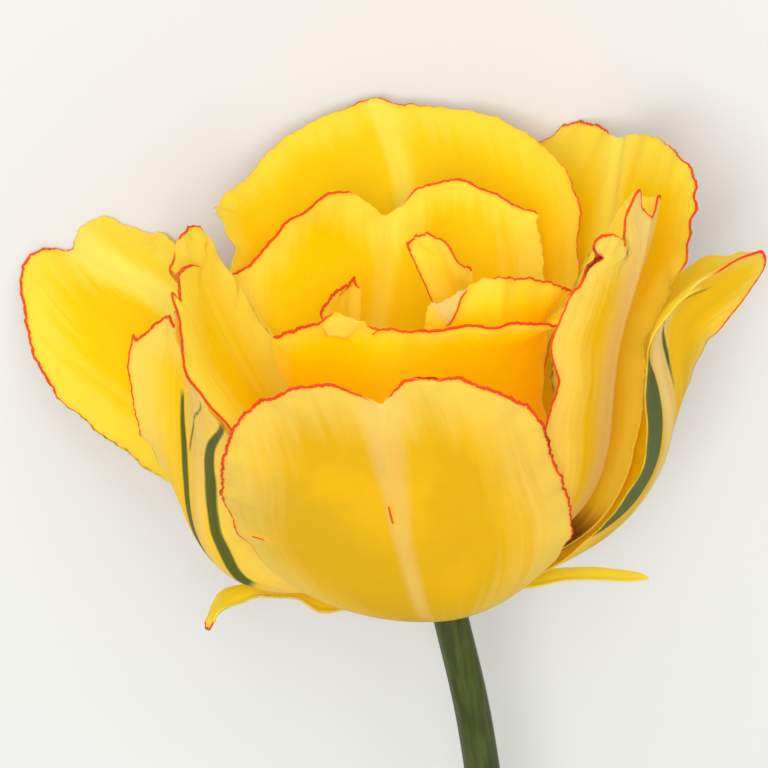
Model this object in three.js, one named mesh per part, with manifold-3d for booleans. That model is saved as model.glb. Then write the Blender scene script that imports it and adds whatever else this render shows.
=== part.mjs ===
// A cut semi-double tulip, laid down on its side: bloom, stem and two leaves.
// Millimetres and degrees. The flower is modelled upright, its axis along +Z and the base of its
// petals at the origin, and is laid down at the end: +Z is then up from the surface and +Y runs
// from the stem's cut end towards the bloom.
import * as THREE from 'three';
import Module from 'manifold-3d';
import { mergeVertices } from 'three/addons/utils/BufferGeometryUtils.js';

const { sin, cos, abs, PI } = Math;
const rad = THREE.MathUtils.degToRad;

// Driving dimensions
const AXIS_RISE = 7; // how steeply the bloom's axis climbs from the surface, degrees
const BLOOM_BASE = new THREE.Vector3(2.6, 86.6, 40.7); // where the petals' base comes to lie
const PETAL_THICKNESS = 0.8;
const LEAF_THICKNESS = 1.1;
const STEM_LENGTH = 250;
const STAMENS = 6;
const STAMEN_START = 26; // azimuth of the first stamen

// Laying down: the origin is on the surface, under the middle of the whole flower.
const laidDown = new THREE.Matrix4()
  .makeTranslation(BLOOM_BASE)
  .multiply(new THREE.Matrix4().makeRotationX(-rad(90 - AXIS_RISE)));

// A smooth value on a run of evenly spaced keys, for t from 0 to 1. A lone number is constant.
function smooth(keys, t) {
  if (!Array.isArray(keys)) return keys;
  const last = keys.length - 1;
  const place = THREE.MathUtils.clamp(t, 0, 1) * last;
  const i = Math.min(Math.floor(place), last - 1);
  const f = place - i;
  const before = keys[Math.max(i - 1, 0)];
  const after = keys[Math.min(i + 2, last)];
  const v0 = (keys[i + 1] - before) / 2;
  const v1 = (after - keys[i]) / 2;
  const rise = keys[i + 1] - keys[i];
  return keys[i] + v0 * f + (3 * rise - 2 * v0 - v1) * f ** 2 + (v0 + v1 - 2 * rise) * f ** 3;
}

// The midrib of a blade as a list of frames: where it is, and which way its side and its inner
// face point. It starts at the blade's foot, leans outward along +X, and sways along +Y.
const SPINE_STEPS = 40;
function spineOf(blade) {
  const frames = [];
  const at = new THREE.Vector3();
  for (let i = 0; i <= SPINE_STEPS; i++) {
    const t = i / SPINE_STEPS;
    const lean = rad(smooth(blade.lean, t));
    const sway = rad(smooth(blade.sway ?? 0, t));
    const twist = rad(smooth(blade.twist ?? 0, t));
    const along = new THREE.Vector3(sin(lean) * cos(sway), sin(sway), cos(lean) * cos(sway));
    const level = new THREE.Vector3(-sin(lean) * sin(sway), cos(sway), -cos(lean) * sin(sway));
    const face = new THREE.Vector3().crossVectors(along, level);
    const side = level.clone().multiplyScalar(cos(twist)).addScaledVector(face, sin(twist));
    const inner = face.multiplyScalar(cos(twist)).addScaledVector(level, -sin(twist));
    if (i) at.addScaledVector(along, blade.length / SPINE_STEPS);
    frames.push({ at: at.clone(), side, inner });
  }
  return frames;
}

// A point of the blade's flat pattern. The crown is the height of its top edge from one margin
// to the other, and the spread is its width from foot to crown, both as shares of the whole.
function pattern(blade, across, t) {
  const half = blade.half[across < 0 ? 0 : 1];
  const a = half * smooth(blade.spread, t) * sin((across * PI) / 2);
  const b = blade.length * t * smooth(blade.crown, (across + 1) / 2);
  return [a, b];
}

// Bends the flat pattern: its length follows the midrib, and its width curls round it.
const CURL_STEPS = 8;
const ROLL_START = 0.6;
function bend(blade, spine, a, b) {
  const t = b / blade.length;
  const place = THREE.MathUtils.clamp(t, 0, 1) * SPINE_STEPS;
  const i = Math.min(Math.floor(place), SPINE_STEPS - 1);
  const f = t * SPINE_STEPS - i;
  const mix = (key) => spine[i][key].clone().lerp(spine[i + 1][key], f);
  const hand = a < 0 ? 0 : 1;
  const half = blade.half[hand];
  const cup = rad(smooth(blade.cup[hand], t));
  const roll = rad(smooth(blade.roll?.[hand] ?? 0, t));
  const reach = abs(a) / half;
  let out = 0;
  let up = 0;
  for (let k = 0; k < CURL_STEPS; k++) {
    const x = (reach * (k + 0.5)) / CURL_STEPS;
    const rolled = Math.max(0, x - ROLL_START) / (1 - ROLL_START);
    const turn = cup * x + roll * rolled ** 2;
    out += (cos(turn) * half * reach) / CURL_STEPS;
    up += (sin(turn) * half * reach) / CURL_STEPS;
  }
  return mix('at')
    .addScaledVector(mix('side'), a < 0 ? -out : out)
    .addScaledVector(mix('inner'), up + wave(blade, a / half, t));
}

// The waves of a blade's rim, which run round it and fade towards its middle.
const FULL_WAVE = 1.2; // how far out the waves stop growing, the margin being 1
function wave({ ripple }, across, t) {
  if (!ripple) return 0;
  const round = Math.atan2(across, t - 0.5);
  const rim = Math.min(FULL_WAVE, Math.hypot(across, 2 * t - 1));
  return ripple.size * rim ** 4 * sin(round * ripple.waves + rad(ripple.start));
}

// Two faces of a blade, a grid of points each. What would sink into the surface lies flat on it.
const NEAR = 0.2; // how far apart the points are that give a blade's slope
function bladeGeometry(blade, placement, thickness) {
  const [columns, rows] = blade.cells;
  const spine = spineOf(blade);
  const lift = laidDown.clone().multiply(placement);
  const drop = lift.clone().invert();
  const faces = [[], []];
  for (let j = 0; j <= rows; j++) {
    for (let i = 0; i <= columns; i++) {
      const [a, b] = pattern(blade, (2 * i) / columns - 1, j / rows);
      const at = bend(blade, spine, a, b);
      const across = bend(blade, spine, a + NEAR, b).sub(bend(blade, spine, a - NEAR, b));
      const along = bend(blade, spine, a, b + NEAR).sub(bend(blade, spine, a, b - NEAR));
      const normal = along.cross(across).setLength(thickness / 2);
      for (const [side, lowest] of [[1, thickness], [-1, 0]]) {
        const point = at.clone().addScaledVector(normal, side).applyMatrix4(lift);
        point.z = Math.max(point.z, lowest);
        faces[side > 0 ? 0 : 1].push(point.applyMatrix4(drop));
      }
    }
  }
  return closeBlade(...faces, columns, rows);
}

// Joins the two faces of a blade round its rim. Both are split into triangles alike, each cell
// along its shorter diagonal.
function closeBlade(inner, outer, columns, rows) {
  const wide = columns + 1;
  const behind = inner.length;
  const index = [];
  for (let j = 0; j < rows; j++) {
    for (let i = 0; i < columns; i++) {
      const a = j * wide + i;
      const [b, c, d] = [a + 1, a + wide, a + wide + 1];
      const plain = inner[b].distanceTo(inner[c]) < inner[a].distanceTo(inner[d]);
      const cells = plain ? [[a, c, b], [b, c, d]] : [[a, c, d], [a, d, b]];
      for (const [p, q, r] of cells) index.push(p, q, r, p + behind, r + behind, q + behind);
    }
  }
  const rim = [];
  for (let i = 0; i < columns; i++) rim.push(i);
  for (let j = 0; j < rows; j++) rim.push(j * wide + columns);
  for (let i = columns; i > 0; i--) rim.push(rows * wide + i);
  for (let j = rows; j > 0; j--) rim.push(j * wide);
  rim.forEach((here, k) => {
    const next = rim[(k + 1) % rim.length];
    index.push(here, next, here + behind, next, next + behind, here + behind);
  });
  return geometryOf([...inner, ...outer], index);
}

function geometryOf(points, index) {
  const numbers = points.flatMap((point) => point.toArray());
  return new THREE.BufferGeometry()
    .setAttribute('position', new THREE.Float32BufferAttribute(numbers, 3))
    .setIndex(index);
}

// A stalk: rings of a round section along a path, closed at both ends. The path is keyed in each
// of its three directions. The section may be drawn out into lobes.
const PATH_STEP = 0.01;
const pathPoint = (path, u) => new THREE.Vector3(...path.map((keys) => smooth(keys, u)));
function pathTangent(path, u) {
  const ahead = pathPoint(path, Math.min(u + PATH_STEP, 1));
  return ahead.sub(pathPoint(path, Math.max(u - PATH_STEP, 0))).normalize();
}
const EAST = new THREE.Vector3(1, 0, 0);
function stalkGeometry({ path, radii, sides, rings, lobes = 0, lobeDepth = 0 }) {
  const points = [];
  const index = [];
  for (let j = 0; j <= rings; j++) {
    const u = j / rings;
    const along = pathTangent(path, u);
    const north = new THREE.Vector3().crossVectors(along, EAST).normalize();
    const side = new THREE.Vector3().crossVectors(north, along).normalize();
    for (let i = 0; i < sides; i++) {
      const turn = (2 * PI * i) / sides;
      const r = smooth(radii, u) * (1 + smooth(lobeDepth, u) * cos(lobes * turn));
      const rim = pathPoint(path, u).addScaledVector(side, r * cos(turn));
      points.push(rim.addScaledVector(north, r * sin(turn)));
    }
  }
  points.push(pathPoint(path, 0), pathPoint(path, 1));
  const [start, end] = [points.length - 2, points.length - 1];
  for (let i = 0; i < sides; i++) {
    const next = (i + 1) % sides;
    for (let j = 0; j < rings; j++) {
      const a = j * sides + i;
      const b = j * sides + next;
      index.push(a, b, a + sides, b, b + sides, a + sides);
    }
    index.push(start, next, i, end, rings * sides + i, rings * sides + next);
  }
  return geometryOf(points, index);
}

// Petals, from the front round to the heart. The seat is the distance of a petal's foot from the
// axis and its height on the receptacle. The halves are its widths either side of the midrib,
// clockwise half first, as are the two rows of the cup, which is how far a half curls inward.
// Lean, sway, twist, cup and spread are keyed from foot to crown, the crown from margin to margin.
const PETALS = {
  inner_petal_front: {
    azimuth: 258, seat: [6, 0], length: 66.5, half: [40.9, 30.9],
    lean: [84, 28, 30, 29, 29], sway: [0, 6, -4],
    cup: [[56, 45, 19, 32], [76, 50, 50, 34]],
    spread: [0.28, 0.55, 0.74, 0.8, 0.76, 0.72],
    crown: [0.65, 0.81, 0.93, 1.04, 1, 1.03, 0.93, 0.8, 0.68],
    cells: [12, 16],
  },
  outer_petal_right: {
    azimuth: -13, seat: [6, 2.2], length: 72.6, half: [7.9, 12.1],
    lean: [84, 61.2, 29.7, 0.1, 72.4], sway: [5.5, -8, 7.2, 28.7], twist: [5.5, -10.7, -12.8, -21.7, -43],
    cup: [[13.1, 24.4, -13.9, -60.6], [23.9, 69.2, 12.2, -39.8]],
    spread: [0.28, 0.55, 0.86, 0.78, 1.23, 1.02],
    crown: [0.94, 0.92, 0.96, 1.03, 1.11, 1.14, 1.08, 0.93, 0.72],
    cells: [12, 16],
  },
  outer_petal_left: {
    azimuth: 175, seat: [6, 2.2], length: 83.9, half: [13.6, 8.5],
    lean: [84, 75, -4, -6, 1], sway: [0, 14, 24], twist: [0, 33, 32, -10],
    cup: [[36, 81, -44, -27], [58, 93, 53, 19]],
    spread: [0.28, 0.55, 0.89, 1.05, 1, 1.21],
    crown: [0.82, 0.82, 0.88, 0.89, 1.01, 1.02, 0.82, 0.68, 0.75],
    cells: [12, 16],
  },
  side_petal_right: {
    azimuth: 11, seat: [5.8, 3.3], length: 77, half: [19, 26],
    lean: [82, 54, 31, 56, 97], sway: [0, 15, 7], twist: [0, -3, -16],
    cup: [[32, 9, 13, 18], [35, 38, 9, 3]],
    spread: [0.28, 0.55, 0.92, 0.92, 0.99, 0.64],
    crown: [0.82, 0.83, 0.9, 0.9, 0.91, 0.88, 0.78, 0.81, 0.62],
    cells: [12, 16],
  },
  inner_petal_left: {
    azimuth: 110, seat: [5.8, 3.3], length: 92.9, half: [17.1, 28],
    lean: [84, 49, 42, 47, 37], sway: [0, 38, 10], twist: [0, 24, -11, -6],
    cup: [[59, 45, 37, 6], [37, 27, 11, -18]],
    spread: [0.28, 0.55, 0.87, 0.91, 0.82, 0.74],
    crown: [0.83, 0.85, 0.92, 0.95, 0.91, 0.94, 0.84, 0.74, 0.63],
    cells: [12, 16],
  },
  inner_petal_right: {
    azimuth: 27, seat: [5.6, 4.4], length: 80.4, half: [40.8, 27.6],
    lean: [82, 36, 21, 43, 28], sway: [0, 20, -1], twist: [0, 10, -10],
    cup: [[67, 29, 31, 6], [64, 65, 28, 15]],
    spread: [0.28, 0.55, 0.56, 0.6, 0.96, 0.93],
    crown: [0.8, 0.89, 0.95, 0.98, 0.95, 0.96, 0.93, 0.85, 0.63],
    cells: [12, 16],
  },
  outer_petal_back: {
    azimuth: 92, seat: [5.4, 5.5], length: 78.3, half: [25.4, 33.6],
    lean: [80, 19, 31, 32, 25], sway: [0, -9, 15],
    cup: [[71, 69, 46, 18], [58, 45, 59, 39]],
    spread: [0.28, 0.55, 0.7, 0.83, 1.14, 1.14],
    crown: [0.69, 0.75, 0.83, 0.91, 1, 1, 0.92, 0.84, 0.62],
    cells: [12, 16],
  },
  third_petal_right: {
    azimuth: -26, seat: [5.2, 6.6], length: 77.3, half: [16.7, 16.8],
    lean: [78, 49, 7, 20, 9], sway: [0, 13, 10], twist: [0, 13, -4],
    cup: [[47, 60, 51, 18], [60, 66, 55, 49]],
    spread: [0.28, 0.55, 0.83, 1, 1.03, 1.23],
    crown: [0.74, 0.71, 0.82, 0.97, 0.95, 0.93, 0.9, 0.86, 0.52],
    cells: [12, 16],
  },
  third_petal_back: {
    azimuth: 106, seat: [5, 6.6], length: 65.4, half: [24.1, 27.9],
    lean: [76, 10, 7, 21, -30], sway: [0, -8, -4],
    cup: [[69, 64, 36, 46], [62, 42, 16, 36]],
    spread: [0.28, 0.55, 0.79, 0.84, 1, 0.98],
    crown: [0.8, 0.87, 0.93, 0.97, 0.87, 1, 0.94, 0.81, 0.77],
    cells: [12, 16],
  },
  third_petal_left: {
    azimuth: 192, seat: [5, 7.7], length: 71.7, half: [14.7, 24.1],
    lean: [76, 24, 20, 18, 9], sway: [0, 1, 13], twist: [0, -10, -24, -29],
    cup: [[64, 56, 20, -8], [63, 52, 14, 7]],
    spread: [0.28, 0.55, 0.85, 0.93, 0.88, 0.85],
    crown: [0.69, 0.88, 0.95, 0.99, 1.02, 1.02, 0.92, 0.87, 0.6],
    cells: [12, 16],
  },
  fourth_petal_front: {
    azimuth: 270, seat: [4.6, 8.8], length: 54.5, half: [19.6, 29.1],
    lean: [72, 13, 7, 22, 25], sway: [0, -10, 24],
    cup: [[67, 70, 58, 4], [63, 72, 56, 31]],
    spread: [0.28, 0.55, 0.83, 0.91, 1, 0.98],
    crown: [0.84, 0.86, 0.95, 0.92, 0.96, 0.99, 0.99, 0.9, 0.62],
    cells: [12, 16],
  },
  fourth_petal_right: {
    azimuth: 306, seat: [4.4, 9.9], length: 51.1, half: [11.1, 20.2],
    lean: [66, 12, 3, 15, -6], sway: [0, 7, 18],
    cup: [[64, 64, 65, 50], [62, 63, 56, 18]],
    spread: [0.28, 0.55, 0.85, 1, 0.97, 1.01],
    crown: [0.73, 0.85, 0.92, 0.97, 0.99, 0.97, 0.94, 0.88, 0.6],
    cells: [8, 12],
  },
  heart_petal_right: {
    azimuth: 56, seat: [4.2, 10.78], length: 51.8, half: [8.3, 6],
    lean: [50, 22, 5, -16, -11], sway: [0, -4, 12],
    cup: [[61, 59, 48, 38], [61, 59, 54, 54]],
    spread: [0.28, 0.55, 0.85, 1, 1, 0.72],
    crown: [0.69, 0.88, 0.89, 0.89, 0.99, 0.99, 0.98, 0.92, 0.59],
    cells: [8, 12],
  },
  heart_petal_left: {
    azimuth: 150, seat: [4.2, 10.78], length: 45.2, half: [2, 14.2],
    lean: [50, 15, 2, 0, -9], sway: [0, -2, -4],
    cup: [[60, 60, 58, 49], [62, 60, 46, 11]],
    spread: [0.28, 0.55, 0.85, 1, 1, 0.95],
    crown: [0.61, 0.85, 0.98, 1, 1, 1, 0.96, 0.9, 0.61],
    cells: [8, 12],
  },
  reflexed_petal_left: {
    azimuth: 175, seat: [6.2, 1.1], length: 33.4, half: [10, 2],
    lean: [88, 102, 68, 81, 122], sway: [0, -8, 41],
    cup: [[-50, -29], [11, 16]],
    spread: [0.8, 1, 0.9, 1.07, 0.82],
    crown: [0.71, 0.83, 0.96, 1.02, 1.07, 1.04, 1, 0.8, 0.64],
    cells: [8, 12],
  },
  reflexed_petal_right: {
    azimuth: -7, seat: [6.2, 1.1], length: 25.8, half: [2, 5.5],
    lean: [88, 88, 86, 98, 92], sway: [0, -2, -4],
    cup: [[0, 8], [2, 12]],
    spread: [1, 1, 0.91, 0.59, 0.52],
    crown: [0.62, 0.82, 0.92, 0.97, 1.02, 0.98, 0.92, 0.81, 0.6],
    cells: [8, 12],
  },
};

// Stem and receptacle in one, from the cut end to the top of the receptacle.
const STEM = {
  path: [
    [16, 14, 10.5, 7, 4.2, 2.7, 2.1, 1.7, 0],
    [6.7, 6.1, 5.2, 4.1, 2.9, 1.7, 0.8, 0.1, 0],
    [-STEM_LENGTH, -1.5],
  ],
  radii: [3.7, 3.65, 3.55, 3.45, 3.3, 3.15, 3.05, 2.95, 2.9],
  sides: 14,
  rings: 40,
};
// The receptacle tapers as it climbs between the whorls of petals.
const RECEPTACLE = {
  from: -2.2,
  to: 12.2,
  radii: [3, 5.1, 5.3, 5.1, 4.8, 4.4, 4, 3.5, 3],
  sides: 20,
};

// The ovary is a blunt three-sided column under a three-lobed stigma.
const PISTIL = {
  path: [[0, 0, 0.2, 0.3], 0, [12.5, 35]],
  radii: [2.4, 3.2, 3.4, 3.4, 3.1, 2.6, 2.3, 3.5, 3.2],
  lobes: 3,
  lobeDepth: [0, 0.06, 0.08, 0.08, 0.08, 0.08, 0.1, 0.3, 0.45],
  sides: 15,
  rings: 18,
};

// Leaves clasp the stem. The foot is how far up the stem they grow.
const LEAVES = {
  leaf_upper: {
    azimuth: 300, foot: 0.34, length: 118, half: [17, 17],
    lean: [3, 8, 14, 20, 30, 40], sway: [0, 6, 16, 26, 34, 38], twist: [0, 0, -5, -10, -10],
    cup: [[110, 70, 45, 40, 30], [110, 70, 45, 40, 30]],
    ripple: { size: 1.2, waves: 7, start: 40 },
    spread: [0.45, 0.8, 1, 0.95, 0.72, 0.42, 0.1],
    crown: [0.9, 0.96, 1, 0.96, 0.9],
    cells: [8, 26],
  },
  leaf_lower: {
    azimuth: 238, foot: 0.14, length: 145, half: [20, 20],
    lean: [3, 8, 12, 16, 24, 30], sway: [0, -6, -14, -22, -28, -32], twist: [0, 0, 5, 10, 10],
    cup: [[110, 70, 45, 40, 30], [110, 70, 45, 40, 30]],
    ripple: { size: 1.4, waves: 8, start: 200 },
    spread: [0.4, 0.75, 1, 0.98, 0.8, 0.5, 0.12],
    crown: [0.9, 0.96, 1, 0.96, 0.9],
    cells: [8, 28],
  },
};
const LEAF_CLEARANCE = 1.1; // from the stem's skin to the middle of a leaf's foot

const FINISHES = {
  petal: { color: '#fdc916', roughness: 0.55 },
  leaf: { color: '#5f7d46', roughness: 0.5 },
  stem: { color: '#727a42', roughness: 0.5 },
  pistil: { color: '#a9b45c', roughness: 0.6 },
  stamen: { color: '#3b3320', roughness: 0.8 },
};
function piece(name, geometry, finish) {
  const material = new THREE.MeshStandardMaterial({ ...FINISHES[finish], metalness: 0 });
  const mesh = new THREE.Mesh(geometry, material);
  mesh.name = name;
  return mesh;
}

// A blade stands at its azimuth round the flower's axis, or round the stem.
function bladePiece(name, blade, axis, thickness, finish) {
  const placement = axis
    .multiply(new THREE.Matrix4().makeRotationZ(rad(blade.azimuth)))
    .multiply(new THREE.Matrix4().makeTranslation(blade.seat[0], 0, blade.seat[1]));
  const mesh = piece(name, bladeGeometry(blade, placement, thickness), finish);
  mesh.applyMatrix4(placement);
  return mesh;
}
// The stem's own axis at the height where a leaf grows.
function stemAxis(u) {
  const upright = new THREE.Vector3(0, 0, 1);
  const turn = new THREE.Quaternion().setFromUnitVectors(upright, pathTangent(STEM.path, u));
  return new THREE.Matrix4().compose(pathPoint(STEM.path, u), turn, new THREE.Vector3(1, 1, 1));
}

const wasm = await Module();
wasm.setup();
function solidOf(geometry) {
  const merged = mergeVertices(geometry);
  return new wasm.Manifold(new wasm.Mesh({
    numProp: 3,
    vertProperties: Float32Array.from(merged.getAttribute('position').array),
    triVerts: Uint32Array.from(merged.getIndex().array),
  }));
}
function joined(geometries) {
  const mesh = wasm.Manifold.union(geometries.map(solidOf)).getMesh();
  return new THREE.BufferGeometry()
    .setAttribute('position', new THREE.BufferAttribute(mesh.vertProperties, 3))
    .setIndex(new THREE.BufferAttribute(mesh.triVerts, 1));
}

function positionOnly(geometry) {
  return new THREE.BufferGeometry()
    .setAttribute('position', geometry.getAttribute('position'))
    .setIndex(geometry.getIndex());
}

// The stem overlaps the receptacle and is joined to it.
function stemGeometry() {
  const steps = RECEPTACLE.radii.length - 1;
  const outline = [new THREE.Vector2(0, RECEPTACLE.from)];
  RECEPTACLE.radii.forEach((r, k) => {
    const up = RECEPTACLE.from + ((RECEPTACLE.to - RECEPTACLE.from) * k) / steps;
    outline.push(new THREE.Vector2(r, up));
  });
  outline.push(new THREE.Vector2(0, RECEPTACLE.to));
  const receptacle = new THREE.LatheGeometry(outline, RECEPTACLE.sides).rotateX(PI / 2);
  return joined([stalkGeometry(STEM), positionOnly(receptacle)]);
}

// Stamens stand round the pistil and grow from one low ring. Each is a filament with an anther
// on top, both given by their distance from the axis and their height.
const FILAMENT = {
  out: [3.25, 4.9, 5.7, 6],
  up: [12.8, 23],
  radii: [0.45, 0.75, 0.7, 0.5],
  sides: 6,
  rings: 5,
};
const ANTHER = {
  out: [6, 6.1, 6.2, 6.2],
  up: [21.5, 31],
  radii: [0.8, 1.5, 1.4, 0.6],
  sides: 8,
  rings: 5,
};
const COLLAR = { inner: 2.8, outer: 3.7, from: 12.45, to: 13.2, sides: 18 };
function collarGeometry() {
  const { inner, outer, from, to, sides } = COLLAR;
  const corners = [[inner, from], [outer, from], [outer, to], [inner, to], [inner, from]];
  const outline = corners.map((corner) => new THREE.Vector2(...corner));
  return positionOnly(new THREE.LatheGeometry(outline, sides).rotateX(PI / 2));
}
function stamenGeometry() {
  const pieces = [collarGeometry()];
  for (let k = 0; k < STAMENS; k++) {
    const turn = rad(STAMEN_START + (360 * k) / STAMENS);
    for (const stalk of [FILAMENT, ANTHER]) {
      const east = stalk.out.map((out) => out * cos(turn));
      const north = stalk.out.map((out) => out * sin(turn));
      pieces.push(stalkGeometry({ ...stalk, path: [east, north, stalk.up] }));
    }
  }
  return joined(pieces);
}

const tulip = new THREE.Group();
for (const [name, petal] of Object.entries(PETALS)) {
  tulip.add(bladePiece(name, petal, new THREE.Matrix4(), PETAL_THICKNESS, 'petal'));
}
for (const [name, leaf] of Object.entries(LEAVES)) {
  const seat = [smooth(STEM.radii, leaf.foot) + LEAF_CLEARANCE, 0];
  tulip.add(bladePiece(name, { ...leaf, seat }, stemAxis(leaf.foot), LEAF_THICKNESS, 'leaf'));
}
tulip.add(piece('stem', stemGeometry(), 'stem'));
tulip.add(piece('pistil', stalkGeometry(PISTIL), 'pistil'));
tulip.add(piece('stamens', stamenGeometry(), 'stamen'));

tulip.applyMatrix4(laidDown);
export default tulip;
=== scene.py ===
"""A cut semi-double tulip, laid down on a pale surface: petals, leaves, stem, pistil and stamens.

The petals and leaves keep the forms of their solids, and get their thin edges, waves, ribs and
colours here. Lengths are in millimetres until a mesh is finished in metres.
"""

import math
from types import SimpleNamespace

import bmesh
import bpy
import numpy as np
from mathutils import Matrix, Vector
from mathutils.kdtree import KDTree


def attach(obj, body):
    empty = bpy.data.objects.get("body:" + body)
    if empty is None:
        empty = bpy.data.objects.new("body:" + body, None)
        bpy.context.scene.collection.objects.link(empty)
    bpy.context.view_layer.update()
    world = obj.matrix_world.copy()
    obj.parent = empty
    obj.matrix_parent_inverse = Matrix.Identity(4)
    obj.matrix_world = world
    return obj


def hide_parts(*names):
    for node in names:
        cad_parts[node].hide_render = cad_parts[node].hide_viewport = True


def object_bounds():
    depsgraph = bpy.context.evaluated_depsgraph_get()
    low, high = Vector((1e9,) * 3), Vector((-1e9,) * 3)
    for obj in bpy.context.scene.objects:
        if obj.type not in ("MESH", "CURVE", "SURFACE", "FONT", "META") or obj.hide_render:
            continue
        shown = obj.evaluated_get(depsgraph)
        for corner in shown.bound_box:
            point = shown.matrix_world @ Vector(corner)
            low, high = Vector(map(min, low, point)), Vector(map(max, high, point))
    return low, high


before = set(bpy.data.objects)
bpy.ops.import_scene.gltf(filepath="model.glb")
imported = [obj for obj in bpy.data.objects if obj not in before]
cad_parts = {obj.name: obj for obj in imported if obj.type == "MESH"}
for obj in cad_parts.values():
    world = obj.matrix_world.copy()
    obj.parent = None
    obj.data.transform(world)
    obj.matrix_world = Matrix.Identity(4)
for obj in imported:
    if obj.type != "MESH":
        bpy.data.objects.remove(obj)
solid_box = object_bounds()

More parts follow.
